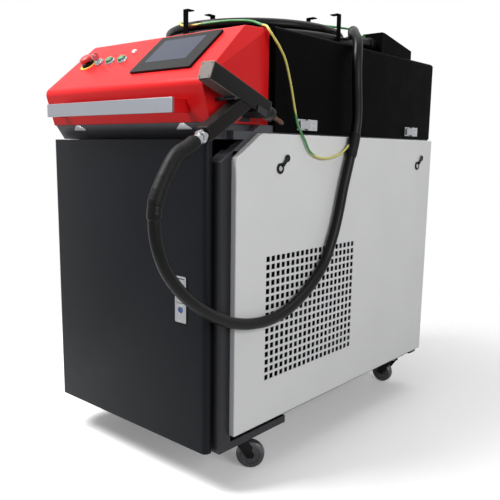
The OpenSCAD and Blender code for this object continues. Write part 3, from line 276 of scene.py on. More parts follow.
entry = [spot(coil_r, gland_y, gland_z)]
entry += [
    spot(coil_r, gland_y - 2 * hose_r * back, coil_z + hose_r * up)
    for back, up in ((1, 1), (1.6, 0.75), (2.2, 0.25), (2.8, 0))
]
entry += [spot(coil_r, coil_y + 4 * hose_r, coil_z), coil_point(0)]
turns = [coil_point(i / turn_steps) for i in range(int(coil_turns * turn_steps) + 1)]
heading = (coil_point(coil_turns) - coil_point(coil_turns - 1 / 24)).normalized() * hose_d
grip_axis = Vector((0, -0.85536, -0.51803))
gland_end = spot(345, -73.02, 840.3)
to_gun = [turns[-1], turns[-1] + heading, turns[-1] + 2 * heading]
to_gun += [spot(*p) for p in (
    (274, 613, 1160), (292, 593, 1155), (312, 568, 1141), (335, 545, 1119), (347, 528, 1084),
    (352, 520, 1045), (355, 519, 1000), (355, 524, 955), (355, 526, 910), (355, 516, 855),
    (355, 496, 796), (355, 471, 724), (355, 450, 651), (355, 426, 590), (355, 387, 524),
    (355, 320, 469), (355, 244, 432), (355, 172, 417), (355, 98, 420), (354, 30, 436),
    (353, -30, 463), (352, -82, 496), (351, -128, 536), (350, -162, 580), (350, -184, 632),
    (349, -190, 684), (348, -180, 734),
)]
to_gun += [gland_end + grip_axis * hose_d * away for away in (2.6, 1, 0)]
hose_route = smooth_route(entry, 4)[:-1] + turns[:-1] + smooth_route(to_gun, 6)
rubber = finish(
    "hose_rubber", (0.0035, 0.0035, 0.004), 0.34, specular=0.14, mottling=0.1, edge_wear=0.0,
    dust=0.03, smudges=0.3, grain_scale=260, grain_depth=0.12, dust_colour=(0.2, 0.19, 0.18, 1),
)
hose = tube("hose", hose_route, [hose_r] * len(hose_route))


def stretch_of(route, start, end):
    """The part of a route between two distances from its start, in metres."""
    kept, far = [], 0.0
    for a, b in zip(route, route[1:]):
        if start <= far <= end:
            kept.append(a)
        far += (b - a).length
    return kept


def tape(name, start, end, r):
    """A wrap on the hose, its turns a little proud of each other, its ends pulled down."""
    part = smooth_route(stretch_of(hose_route, start, end), 4)
    last = len(part) - 1
    radii = [
        hose_r + 0.3 + (r - hose_r - 0.3) * min(1, i / 3, (last - i) / 3) + 0.35 * (i % 8 > 5)
        for i in range(len(part))
    ]
    radii[0] = radii[-1] = hose_r - 0.5
    return tube(name, part, radii)


hose_all = run_length(hose_route)
joint_at = min(range(len(hose_route)), key=lambda i: (hose_route[i] - spot(355, 512, 842)).length)
joint_run = run_length(hose_route[:joint_at + 1])
sleeve = tape("hose_sleeve", hose_all - sleeve_length, hose_all - 0.002, 16.4)
wrap = tape("earth_wire_wrap", joint_run - 0.03, joint_run + 0.045, 15.6)
sleeve_top = hose_all - sleeve_length
band = tape("sleeve_tape", sleeve_top - 0.025, sleeve_top + 0.02, 15.8)
woven = finish(
    "sleeve_cloth", (0.004, 0.004, 0.0045), 0.45, specular=0.12, mottling=0.12, dust=0.04,
    grain_scale=700, grain_depth=0.35, edge_wear=0.0,
)
keep(hose, rubber, "cabinet", "hose_rubber", "hose_coil", "hose_drop")
keep(sleeve, woven, "cabinet", "hose_rubber")
keep(wrap, woven, "cabinet", "hose_rubber")
keep(band, rubber, "cabinet", "hose_rubber")

# Earth wire -------------------------------------------------------------------
# A 6 mm stranded wire in green and yellow insulation. It lies across the coil and round behind
# the front hooks, hangs over the hood's edge and goes in under the wrap on the hose.

wire_route = smooth_route([spot(*p) for p in (
    (250, 720, 1162), (250, 690, 1162), (250, 655, 1173), (247, 620, 1172), (240, 560, 1169),
    (222, 525, 1169), (203, 500, 1167), (180, 475, 1152), (150, 440, 1126), (110, 410, 1114),
    (60, 385, 1114), (0, 372, 1114), (-50, 362, 1122), (-78, 350, 1148), (-88, 325, 1168),
    (-80, 290, 1171), (-60, 256, 1166), (-25, 238, 1152), (20, 235, 1149), (70, 243, 1150),
    (120, 259, 1152), (165, 268, 1149), (205, 258, 1141), (240, 236, 1130), (268, 212, 1121),
    (284, 203, 1116), (297, 196.5, 1112.3), (309, 191, 1107), (319, 189.5, 1096),
    (328, 196.9, 1078.6), (334, 207.8, 1061.2), (336, 228.7, 1032.5), (336, 250.7, 980.5),
    (336, 267, 930), (335.5, 280, 893), (338.5, 285.5, 878), (342.5, 293, 863),
    (344, 303, 850), (344, 322, 825), (344, 350, 810), (344, 385, 804), (344, 420, 806),
    (345, 455, 813), (347, 482, 826), (350, 498, 840),
)], 6)
wire_length = run_length(wire_route)
wire_r = 3
wire_green, wire_yellow = (0.07, 0.30, 0.09), (0.68, 0.62, 0.16)
wire_bands = (
    (0.68, wire_yellow), (0.82, wire_green), (1.10, wire_yellow), (1.34, wire_green),
    (1.46, wire_yellow),
)
earth_wire = tube("earth_wire", wire_route, [wire_r] * len(wire_route), 12)
insulation = finish(
    "earth_wire_insulation", wire_green, 0.38, mottling=0.04, edge_wear=0.0, dust=0.05,
    grain_scale=500, grain_depth=0.03,
)
# Real insulation is green on one side and yellow on the other, and shows them in turn as the
# wire twists. Here they are bands right round the wire, each from its distance in metres, that
# meet on a slant
tree = insulation.node_tree
along = add(tree, "ShaderNodeUVMap", {}, uv_map="along").outputs[0]
along = add(tree, "ShaderNodeSeparateXYZ", {0: along}).outputs
slant = add(tree, "ShaderNodeMath", {
    0: along["X"], 1: 0.05, 2: along["Y"]}, operation="MULTIPLY_ADD").outputs[0]
share = add(tree, "ShaderNodeMath", {0: slant, 1: wire_length}, operation="DIVIDE").outputs[0]
striped = add(tree, "ShaderNodeValToRGB", {0: share})
ramp = striped.color_ramp
ramp.interpolation = "CONSTANT"
ramp.elements.remove(ramp.elements[1])
ramp.elements[0].color = (*wire_green, 1)
for start, colour in wire_bands:
    ramp.elements.new(start / wire_length).color = (*colour, 1)
effects = next(n for n in tree.nodes if n.type == "GROUP")
tree.links.new(striped.outputs[0], effects.inputs["Colour"])
keep(earth_wire, insulation, "cabinet", "wire_green", "ground_wire")

# Floor and light --------------------------------------------------------------
# A pale floor that fades into a white background. A large soft lamp hangs at the front left,
# weaker ones at the right and above, and a low white sky fills the shadows.

floor_half, floor_z, fade_from, fade_to = 6, -0.0005, 0.5, 1.9
floor_glow, floor_bounce, sky_fill = 0.2, (0.12, 0.12, 0.12, 1), 0.18
floor_mesh = bpy.data.meshes.new("floor")
floor_mesh.from_pydata(
    [(x * floor_half, y * floor_half, floor_z) for x, y in ((-1, -1), (1, -1), (1, 1), (-1, 1))],
    [], [(0, 1, 2, 3)],
)
floor = placed("floor", floor_mesh)
pale = bpy.data.materials.new("floor_pale")
pale.use_nodes = True
tree = pale.node_tree
paint = tree.nodes["Principled BSDF"]
path = add(tree, "ShaderNodeLightPath", {})
floor_colour = add(tree, "ShaderNodeMix", {
    0: path.outputs["Is Diffuse Ray"], 6: (0.95, 0.95, 0.95, 1), 7: floor_bounce},
    data_type="RGBA").outputs[2]
tree.links.new(floor_colour, paint.inputs["Base Color"])
paint.inputs["Emission Color"].default_value = (1, 1, 1, 1)
seen = add(tree, "ShaderNodeMath", {
    0: path.outputs["Is Camera Ray"], 1: path.outputs["Is Glossy Ray"]}, operation="MAXIMUM")
glow = add(tree, "ShaderNodeMath", {0: seen.outputs[0], 1: floor_glow}, operation="MULTIPLY")
tree.links.new(glow.outputs[0], paint.inputs["Emission Strength"])
paint.inputs["Roughness"].default_value = 0.7
where = add(tree, "ShaderNodeTexCoord", {}).outputs["Object"]
reach = add(tree, "ShaderNodeVectorMath", {0: where}, operation="LENGTH").outputs["Value"]
fade = add(tree, "ShaderNodeMapRange", {
    "Value": reach, "From Min": fade_from, "From Max": fade_to, "To Min": 1.0, "To Max": 0.0},
    interpolation_type="SMOOTHSTEP").outputs[0]
tree.links.new(fade, paint.inputs["Alpha"])
floor_mesh.materials.append(pale)

world = bpy.data.worlds.new("studio")
bpy.context.scene.world = world
world.use_nodes = True
tree = world.node_tree
path = add(tree, "ShaderNodeLightPath", {})
seen = add(tree, "ShaderNodeMath", {
    0: path.outputs["Is Camera Ray"], 1: path.outputs["Is Transmission Ray"]}, operation="MAXIMUM")
seen = add(tree, "ShaderNodeMath", {
    0: seen.outputs[0], 1: path.outputs["Is Glossy Ray"]}, operation="MAXIMUM")
strength = add(tree, "ShaderNodeMapRange", {
    "Value": seen.outputs[0], "From Min": 0.0, "From Max": 1.0, "To Min": sky_fill, "To Max": 1.0})
sky = tree.nodes["Background"]
sky.inputs["Color"].default_value = (1, 1, 1, 1)
tree.links.new(strength.outputs[0], sky.inputs["Strength"])

aim = Vector((0, 0, 0.6))
for name, place, size, power in (
    ("key_light", (-1.4, -2.1, 3.9), 1.7, 245),
    ("right_light", (3.4, -0.9, 1.7), 1.8, 53),
    ("top_light", (0.4, 0.6, 3.4), 2.2, 26),
):
    lamp_data = bpy.data.lights.new(name, "AREA")
    lamp_data.size = size
    lamp_data.energy = power
    light = placed(name, lamp_data)
    light.location = place
    light.rotation_euler = (aim - Vector(place)).to_track_quat("-Z", "Y").to_euler()

# Cabinet frame ----------------------------------------------------------------
# Base tray, four corner posts, the deck with its plinth and the rear panel, all folded or
# welded from steel. They are powder coated black with a fine orange-peel texture, and the deck
# is a shade greyer.

black_coat = finish(
    "black_powder_coat", (0.018, 0.0185, 0.0215), 0.40, (0.08, 0.08, 0.09), specular=0.22,
    mottling=0.07, edge_wear=0.35, edge_radius=0.0012, dust=0.04, smudges=0.25, grain_scale=1100,
    grain_depth=0.06,
)


def rounded_copy(node, width, segments, angle):
    """A copy of a node's solid, its triangles merged into faces and its edges rounded."""
    mesh = bpy.data.meshes.new(node + "_rounded")
    bm = bmesh.new()
    bm.from_mesh(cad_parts[node].data)
    bmesh.ops.remove_doubles(bm, verts=bm.verts, dist=0.00001)
    bmesh.ops.dissolve_limit(bm, angle_limit=math.radians(0.4), verts=bm.verts, edges=bm.edges)
    bmesh.ops.recalc_face_normals(bm, faces=bm.faces)
    for face in bm.faces:
        face.smooth = True
    bm.to_mesh(mesh)
    bm.free()
    mesh.set_sharp_from_angle(angle=math.radians(angle))
    piece = placed(node + "_rounded", mesh)
    if width:
        bevel = piece.modifiers.new("edges", "BEVEL")
        bevel.width = width / 1000
        bevel.segments = segments
        bevel.limit_method = "ANGLE"
        bevel.angle_limit = math.radians(angle)
        bevel.harden_normals = True
    return piece


def dress(node, width, material, body, slot, segments=2, angle=35):
    """Puts a rounded copy of a node's solid in its place."""
    keep(rounded_copy(node, width, segments, angle), material, body, slot, node)


def coat(material, *nodes):
    """Gives CAD pieces whose shape is right their finish."""
    for node in nodes:
        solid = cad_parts[node]
        solid.data.materials.clear()
        solid.data.materials.append(material)


dress("base_tray", 1.0, black_coat, "cabinet", "tray")
dress("corner_posts", 0, black_coat, "cabinet", "black_frame")
deck_coat = finish(
    "deck_powder_coat", (0.046, 0.047, 0.056), 0.40, (0.16, 0.16, 0.18), mottling=0.06,
    edge_wear=0.3, edge_radius=0.0012, dust=0.04, smudges=0.25, grain_scale=1100, grain_depth=0.06,
)
dress("top_deck", 1.2, deck_coat, "cabinet", "black_frame")
dress("rear_panel", 0.6, black_coat, "cabinet", "black_frame")


def geometry_group(name, inputs):
    """A geometry node tree with a mesh in and out and named inputs."""
    tree = bpy.data.node_groups.new(name, "GeometryNodeTree")
    tree.interface.new_socket(name="Geometry", in_out="INPUT", socket_type="NodeSocketGeometry")
    for label, kind, value in inputs:
        made = tree.interface.new_socket(
            name=label, in_out="INPUT", socket_type="NodeSocket" + kind)
        if value is not None:
            made.default_value = value
    tree.interface.new_socket(name="Geometry", in_out="OUTPUT", socket_type="NodeSocketGeometry")
    return tree, tree.nodes.new("NodeGroupInput").outputs, tree.nodes.new("NodeGroupOutput").inputs


def close_tree(tree, instances, material, result):
    """Ends a tree: instances made real, doubles merged, material set."""
    real = add(tree, "GeometryNodeRealizeInstances", {"Geometry": instances})
    merged = add(tree, "GeometryNodeMergeByDistance", {
        "Geometry": real.outputs[0], "Distance": 0.01})
    dressed = add(tree, "GeometryNodeSetMaterial", {
        "Geometry": merged.outputs[0], "Material": material})
    tree.links.new(dressed.outputs[0], result["Geometry"])


# Rows and columns of one shape
grid_tree, given, result = geometry_group("rows_and_columns", [
    ("Columns", "Int", 2), ("Rows", "Int", 1), ("Column pitch", "Float", 10.0),
    ("Row pitch", "Float", 10.0), ("Material", "Material", None),
])
spans = []
for count, pitch_name in (("Columns", "Column pitch"), ("Rows", "Row pitch")):
    less = add(grid_tree, "ShaderNodeMath", {0: given[count], 1: 1.0}, operation="SUBTRACT")
    spans.append(add(grid_tree, "ShaderNodeMath", {
        0: less.outputs[0], 1: given[pitch_name]}, operation="MULTIPLY"))
points = add(grid_tree, "GeometryNodeMeshGrid", {
    "Size X": spans[0].outputs[0], "Size Y": spans[1].outputs[0], "Vertices X": given["Columns"],
    "Vertices Y": given["Rows"]})
laid = add(grid_tree, "GeometryNodeInstanceOnPoints", {
    "Points": points.outputs["Mesh"], "Instance": given["Geometry"]})
close_tree(grid_tree, laid.outputs[0], given["Material"], result)

# One shape repeated round a circle
ring_tree, given, result = geometry_group("round_a_circle", [
    ("Count", "Int", 6), ("Radius", "Float", 10.0), ("Material", "Material", None),
])
points = add(ring_tree, "GeometryNodeMeshCircle", {
    "Vertices": given["Count"], "Radius": given["Radius"]})
number = add(ring_tree, "GeometryNodeInputIndex", {}).outputs[0]
share = add(ring_tree, "ShaderNodeMath", {0: number, 1: given["Count"]}, operation="DIVIDE")
angle = add(ring_tree, "ShaderNodeMath", {
    0: share.outputs[0], 1: 2 * math.pi}, operation="MULTIPLY")
turn = add(ring_tree, "ShaderNodeCombineXYZ", {"Z": angle.outputs[0]})
laid = add(ring_tree, "GeometryNodeInstanceOnPoints", {
    "Points": points.outputs["Mesh"], "Instance": given["Geometry"], "Rotation": turn.outputs[0]})
close_tree(ring_tree, laid.outputs[0], given["Material"], result)


def repeated(name, shape, tree, where, **sizes):
    """The shape, repeated by the tree and set at where, as a plain mesh."""
    modifier = shape.modifiers.new("repeat", "NODES")
    modifier.node_group = tree
    labels = {
        item.name: item.identifier for item in tree.interface.items_tree if item.in_out == "INPUT"
    }
    for key, value in sizes.items():
        modifier[labels[key.replace("_", " ").capitalize()]] = value
    evaluated = shape.evaluated_get(bpy.context.evaluated_depsgraph_get())
    mesh = bpy.data.meshes.new_from_object(evaluated)
    mesh.name = name
    mesh.transform(where)
    bpy.data.objects.remove(shape)
    return placed(name, mesh)


def seat(x, y, z, *tilts):
    """Where a piece made in millimetres about its own foot goes, turned as given."""
    where = Matrix.Translation(spot(x, y, z))
    for degrees, axis in tilts:
        where = where @ Matrix.Rotation(math.radians(degrees), 4, axis)
    return where @ Matrix.Scale(0.001, 4)


def turned(name, profile, where=None, sides=40):
    """A lathe-turned piece: the profile gives (radius, height) from its foot to its top."""
    mesh = bpy.data.meshes.new(name)
    bm = bmesh.new()
    rings = []
    for r, h in profile:
        if r == 0:
            rings.append([bm.verts.new((0, 0, h))])
        else:
            rings.append([bm.verts.new((
                r * math.cos(2 * math.pi * k / sides), r * math.sin(2 * math.pi * k / sides), h
            )) for k in range(sides)])
    for low, high in zip(rings, rings[1:]):
        for k in range(sides):
            n = (k + 1) % sides
            corners = list(dict.fromkeys((
                low[k % len(low)], low[n % len(low)], high[n % len(high)], high[k % len(high)],
            )))
            if len(corners) > 2:
                bm.faces.new(corners).smooth = True
    bmesh.ops.recalc_face_normals(bm, faces=bm.faces)
    bm.to_mesh(mesh)
    bm.free()
    mesh.set_sharp_from_angle(angle=math.radians(38))
    if where:
        mesh.transform(where)
    return placed(name, mesh)


def screw(r, tall):
    """A pan head with a sunk six-sided socket."""
    return turned("screw", [
        (0, 0), (r, 0), (r, tall * 0.5), (r * 0.8, tall), (r * 0.45, tall), (r * 0.42, tall * 0.4),
        (0, tall * 0.35),
    ], sides=12)


def flat_plate(name, outline, thick, where, width=0.5):
    """A plate of the outline (x, y), its edges chamfered."""
    mesh = bpy.data.meshes.new(name)
    bm = bmesh.new()
    low = [bm.verts.new((x, y, 0)) for x, y in outline]
    high = [bm.verts.new((x, y, thick)) for x, y in outline]
    bm.faces.new(list(reversed(low)))
    bm.faces.new(high)
    for k in range(len(outline)):
        n = (k + 1) % len(outline)
        bm.faces.new((low[k], low[n], high[n], high[k]))
    bmesh.ops.bevel(bm, geom=bm.edges[:], offset=width, segments=2, affect="EDGES", profile=0.5)
    bmesh.ops.recalc_face_normals(bm, faces=bm.faces)
    bm.to_mesh(mesh)
    bm.free()
    mesh.transform(where)
    return placed(name, mesh)


zinc = finish(
    "zinc_plate", (0.42, 0.43, 0.45), 0.34, metallic=0.95, mottling=0.10, edge_radius=0.0004,
    dust=0.03, smudges=0.25, grain_scale=500, grain_depth=0.03, edge_wear=0.0,
)
for label, x in (("left", -305), ("right", 305)):
    keep(repeated(
        "rear_panel_screws_" + label, screw(4, 1.4), grid_tree, seat(x, 1030.4, 480, (-90, "X")),
        columns=1, rows=6, column_pitch=10.0, row_pitch=140.0, material=zinc,
    ), None, "cabinet", "zinc")

# Louvre blades behind the rear panel's slots, leaning down into the cabinet
blade_w, blade_h, blade_lean = 224, 14.4, math.radians(-33)
blade = flat_plate("blade", [
    (-blade_w / 2, -blade_h / 2), (blade_w / 2, -blade_h / 2), (blade_w / 2, blade_h / 2),
    (-blade_w / 2, blade_h / 2),
], 1.0, Matrix.Rotation(blade_lean, 4, "X"), 0.3)
keep(repeated(
    "rear_louvres", blade, grid_tree, seat(0, 1024.6, 493, (90, "X")), columns=1, rows=9,
    column_pitch=10.0, row_pitch=30.0, material=black_coat,
), None, "cabinet", "black_frame")

# Side panels ------------------------------------------------------------------
# Two lift-off pans of 2 mm steel with folded rims, powder coated light grey. Each has a field
# of 20 by 16 punched square holes for the chiller's air, and a corner cut off at the top front.

panel_y, panel_z = (60, 1032), (142, 862)
panel_face, panel_back, sheet = 337, 321, 2
cut_y, cut_z = 88, 57
hole_columns, hole_rows, hole_pitch, hole_side = 20, 16, 20.0, 13.5
field_y, field_z = 367, 412
grey_coat = finish(
    "light_grey_powder_coat", (0.83, 0.833, 0.84), 0.42, (0.88, 0.88, 0.87), mottling=0.025,
    edge_wear=0.25, edge_radius=0.002, dust=0.04, smudges=0.18, grain_scale=900, grain_depth=0.045,
    dust_colour=(0.42, 0.40, 0.37, 1),
)


def hole_cell(pitch, hole, thick):
    """One square of the punched field: its front, its back and the wall of its hole."""
    mesh = bpy.data.meshes.new("hole_cell")
    bm = bmesh.new()
    rim = [(-1, -1), (0, -1), (1, -1), (1, 0), (1, 1), (0, 1), (-1, 1), (-1, 0)]
    levels = []
    for z in (0, thick):
        outer = [bm.verts.new((x * pitch / 2, y * pitch / 2, z)) for x, y in rim]
        inner = [bm.verts.new((x * hole / 2, y * hole / 2, z)) for x, y in rim]
        levels.append((outer, inner))
    (o0, i0), (o1, i1) = levels
    for k in range(8):
        n = (k + 1) % 8
        bm.faces.new((o0[n], o0[k], i0[k], i0[n]))
        bm.faces.new((o1[k], o1[n], i1[n], i1[k]))
        bm.faces.new((i0[n], i0[k], i1[k], i1[n]))
    bm.to_mesh(mesh)
    bm.free()
    return placed("hole_cell", mesh)


def pan(name, side):
    """The folded pan with its punched field, on the right (side 1) or the left (side -1)."""
    (y0, y1), (z0, z1) = panel_y, panel_z
    near, far = (field_y + way * hole_columns * hole_pitch / 2 for way in (-1, 1))
    low, high = (field_z + way * hole_rows * hole_pitch / 2 for way in (-1, 1))
    corners = [(y0, z0), (y1, z0), (y1, z1), (y0 + cut_y, z1), (y0, z1 - cut_z)]
    inner = [
        (y0 + sheet, z0 + sheet), (y1 - sheet, z0 + sheet), (y1 - sheet, z1 - sheet),
        (y0 + cut_y + 0.6, z1 - sheet), (y0 + sheet, z1 - cut_z - 1.1),
    ]
    field = [(near + hole_pitch * k, low) for k in range(hole_columns)]
    field += [(far, low + hole_pitch * k) for k in range(hole_rows)]
    field += [(far - hole_pitch * k, high) for k in range(hole_columns)]
    field += [(near, high - hole_pitch * k) for k in range(hole_rows)]
    mesh = bpy.data.meshes.new(name)
    bm = bmesh.new()
    weight = bm.edges.layers.float.new("bevel_weight_edge")

    def loop(outline, x):
        """The outline's points and edges, at a distance from the machine's middle."""
        found = [bm.verts.new(spot(side * x, y, z)) for y, z in outline]
        return found, [bm.edges.new((a, b)) for a, b in zip(found, found[1:] + found[:1])]

    front, front_edges = loop(corners, panel_face)
    back, _ = loop(corners, panel_back)
    rim, _ = loop(inner, panel_back)
    inside, inside_edges = loop(inner, panel_face - sheet)
    _, hole_front = loop(field, panel_face)
    _, hole_back = loop(field, panel_face - sheet)
    for one, other in ((front, back), (back, rim), (rim, inside)):
        for k in range(5):
            n = (k + 1) % 5
            bm.faces.new((one[k], one[n], other[n], other[k]))
    bmesh.ops.triangle_fill(bm, use_beauty=True, use_dissolve=False, edges=front_edges + hole_front)
    bmesh.ops.triangle_fill(bm, use_beauty=True, use_dissolve=False, edges=inside_edges + hole_back)
    for a, b in zip(front, back):
        bm.edges.get((a, b))[weight] = 1.0
    for e in front_edges:
        e[weight] = 1.0
    foot = panel_face - sheet if side > 0 else -panel_face
    cells = repeated(
        name + "_field", hole_cell(hole_pitch, hole_side, sheet), grid_tree,
        seat(foot, field_y, field_z, (90, "Z"), (90, "X")), columns=hole_columns,
        rows=hole_rows, column_pitch=hole_pitch, row_pitch=hole_pitch, material=grey_coat,
    )
    bm.from_mesh(cells.data)
    bpy.data.objects.remove(cells)
    bmesh.ops.remove_doubles(bm, verts=bm.verts, dist=0.0002)
    bmesh.ops.recalc_face_normals(bm, faces=bm.faces)
    for face in bm.faces:
        face.smooth = True
        face.material_index = 0
    bm.to_mesh(mesh)
    bm.free()
    mesh.set_sharp_from_angle(angle=math.radians(30))
    piece = placed(name, mesh)
    fold = piece.modifiers.new("fold", "BEVEL")
    fold.width = 0.0035
    fold.segments = 3
    fold.limit_method = "WEIGHT"
    fold.harden_normals = True
    return piece


keep(pan("right_pan", 1), grey_coat, "cabinet", "grey_panel", "right_side_panel")
keep(pan("left_pan", -1), grey_coat, "cabinet", "grey_panel", "left_side_panel")

# Two cam locks of the right panel: a moulded black ring with a chromed core, and a dust cover
moulded = finish(
    "moulded_black_plastic", (0.004, 0.004, 0.005), 0.34, (0.03, 0.03, 0.03), specular=0.12,
    mottling=0.06, edge_wear=0.2, edge_radius=0.0006, dust=0.03, smudges=0.2, grain_scale=700,
    grain_depth=0.05,
)
chrome = finish(
    "bright_chrome", (0.36, 0.365, 0.38), 0.24, metallic=1.0, mottling=0.04, edge_radius=0.0003,
    edge_wear=0.0, dust=0.01, smudges=0.12, grain_scale=400, grain_depth=0.005,
)
dress("lock_bodies", 0.5, moulded, "cabinet", "black_plastic")
dress("lock_cover_front", 0.6, moulded, "front_lock_cover", "black_plastic")
dress("lock_cover_rear", 0.6, moulded, "rear_lock_cover", "black_plastic")
for label, y in (("front", 215), ("rear", 932)):
    core = turned("lock_core_" + label, [
        (0, 0), (6.4, 0), (6.4, 0.4), (5.8, 0.6), (2.4, 0.6), (2.0, 0.2), (0, 0.2),
    ], seat(339.4, y, 780, (90, "Y")), 24)
    keep(core, chrome, "cabinet", "bright_steel")

# Front door -------------------------------------------------------------------
# A 20 mm deep pan on two lift-off hinges, powder coated dark grey. Its flush latch is a
# chromed faceplate with a pull lever that a blue push button releases.

latch_x = 219
door_coat = finish(
    "dark_grey_powder_coat", (0.0078, 0.0088, 0.0115), 0.36, (0.05, 0.05, 0.06), specular=0.09,
    mottling=0.06, edge_wear=0.3, edge_radius=0.0015, dust=0.06, smudges=0.22, grain_scale=1200,
    grain_depth=0.07,
)
button_blue = finish(
    "latch_blue", (0.02, 0.06, 0.25), 0.3, (0.2, 0.25, 0.4), mottling=0.05, edge_wear=0.2,
)
dress("front_door", 0.8, door_coat, "door", "door_coat")
coat(black_coat, "door_hinges", "door_knuckles")
dress("door_latch_plate", 0.5, chrome, "door", "bright_steel")
dress("door_latch_lever", 0.6, chrome, "latch_lever", "bright_steel")
push = turned("latch_push", [
    (0, 0), (7.7, 0), (7.7, 7.0), (7.0, 7.9), (5.2, 8.0), (3.8, 7.2), (0, 7.0),
], seat(latch_x, 4, 448, (90, "X")))
keep(push, button_blue, "latch_button", "latch_blue", "door_latch_button")
keep(repeated(
    "latch_screws", screw(1.6, 0.7), grid_tree, seat(latch_x, -2.9, 473, (90, "X")), columns=1,
    rows=2, column_pitch=1.0, row_pitch=107.0, material=zinc,
), None, "door", "zinc")

# Console ----------------------------------------------------------------------
# One folded and welded sheet-steel shell, sprayed glossy red, on two catch brackets. Its edges
# are soft from the welding and the thick paint.

nose_y, nose_z, slope = -18, 970, math.radians(41)
row_run, lamp_run = 118, 154
estop_x, key_x, start_x, stop_x, lamp_x = -224, -176, -128, -76, -62
red_paint = finish(
    "red_gloss_paint", (0.74, 0.012, 0.014), 0.34, (0.80, 0.08, 0.07), specular=0.18, mottling=0.03,
    edge_wear=0.3, edge_radius=0.003, dust=0.02, smudges=0.2, grain_scale=500, grain_depth=0.05,
    dust_colour=(0.7, 0.35, 0.33, 1),
)
dress("console_shell", 2.4, red_paint, "cabinet", "red_coat", 3, 25)
dress("handle_brackets", 0.8, red_paint, "cabinet", "red_coat")
dress("console_feet", 0.6, zinc, "cabinet", "bar_silver")

# Push handle: a flat aluminium bar, brushed along its length and clear anodised. Its pale
# edges are partly rubbed wear and partly painted highlight
anodised = finish(
    "anodised_aluminium", (0.345, 0.36, 0.395), 0.34, (0.6, 0.61, 0.64), metallic=0.85,
    mottling=0.03, edge_wear=0.5, edge_radius=0.001, dust=0.03, smudges=0.2, grain_scale=900,
    grain_depth=0.05, stretch=(0.03, 1, 1),
)
dress("handle_bar", 1.2, anodised, "cabinet", "bar_silver", 3)


def on_slope(x, run):
    """A seat on the control face: across from the centre, and up the slope from the nose."""
    foot = (x, nose_y + run * math.cos(slope), nose_z + run * math.sin(slope))
    return seat(*foot, (math.degrees(slope), "X"))


# Touch screen: a moulded bezel round a dark glass that is off
glass = finish(
    "screen_glass", (0.028, 0.034, 0.062), 0.18, specular=0.25, mottling=0.08, edge_wear=0.0,
    dust=0.02, smudges=0.12, grain_scale=200, grain_depth=0.0,
)
dress("screen_bezel", 1.6, moulded, "cabinet", "black_plastic", 3)
coat(glass, "screen_glass")

# Emergency stop: a yellow disc, a black collar and a red mushroom head that presses in
yellow = finish(
    "stop_disc_yellow", (0.80, 0.50, 0.02), 0.4, mottling=0.04, edge_wear=0.1, dust=0.05,
)
stop_red = finish(
    "stop_head_red", (0.62, 0.02, 0.02), 0.28, coat=0.3, mottling=0.04, edge_wear=0.2,
)
keep(turned("estop_disc", [
    (0, 0), (27, 0), (27, 1.4), (26.2, 2), (19, 2), (0, 2),
], on_slope(estop_x, row_run)), yellow, "cabinet", "estop_yellow", "estop_base")
keep(turned("estop_collar", [
    (0, 1.9), (20, 1.9), (20, 3.2), (18.6, 4.0), (18.4, 6.8), (17.2, 7.9), (6.6, 8.0), (6.6, 3.0),
    (0, 3.0),
], on_slope(estop_x, row_run)), moulded, "cabinet", "black_plastic")
keep(turned("estop_mushroom", [
    (0, 8.1), (6, 8.1), (6, 12.3), (16, 12.3), (17.6, 13.2), (18, 15.5), (17.8, 18.5), (16.6, 21.3),
    (14.4, 22.9), (12.0, 23.3), (8.0, 22.6), (0, 22.3),
], on_slope(estop_x, row_run)), stop_red, "estop", "estop_red", "estop_head")

# Key switch with its chromed ring, and its flat key
keep(turned("key_ring", [
    (0, 0), (14.5, 0), (14.5, 3.0), (13.0, 3.4), (12.6, 6.6), (11.4, 8.0), (8.6, 8.0), (8.3, 7.4),
    (0, 7.4),
], on_slope(key_x, row_run)), chrome, "cabinet", "zinc", "key_switch")
dress("key", 0.4, chrome, "key", "bright_steel")

# Start and stop: green caps in chromed bezels, and a clear lamp above them. One node holds
# both bezels, so the first ring stands for it
green = finish(
    "button_green", (0.02, 0.24, 0.09), 0.25, (0.2, 0.45, 0.25), coat=0.4, mottling=0.05,
    edge_wear=0.15,
)
clear = finish("lamp_clear", (0.62, 0.64, 0.64), 0.15, coat=0.8, mottling=0.05, edge_wear=0.1)
for label, x in (("start", start_x), ("stop", stop_x)):
    ring = turned(label + "_ring", [
        (0, -6), (11.4, -6), (11.4, 0), (14.5, 0), (14.5, 2.4), (13.4, 4.2), (12.2, 5.0),
        (11.3, 4.8), (11.2, 3.0), (11.2, -4.5), (0, -4.5),
    ], on_slope(x, row_run))
    keep(ring, chrome, "cabinet", "zinc", *(["button_bezels"] if label == "start" else []))
    keep(turned(label + "_cap", [
        (0, 0.5), (10.9, 0.5), (10.9, 9.2), (10.2, 10.4), (8.8, 11.0), (7.8, 10.6), (0, 10.2),
    ], on_slope(x, row_run)), green, label, "button_green", label + "_button")
keep(turned("indicator_lens", [
    (0, 0), (8, 0), (8, 1.6), (6.9, 2.2), (6.6, 3.4), (5.2, 4.5), (2.8, 4.95), (0, 5.0),
], on_slope(lamp_x, lamp_run)), clear, "cabinet", "lamp", "indicator_lamp")

# Hood -------------------------------------------------------------------------
# A lift-off box of black powder-coated steel. Two zinc draw latches hold it on the right, and
# four pairs of bent flat hooks on its top carry the hose.

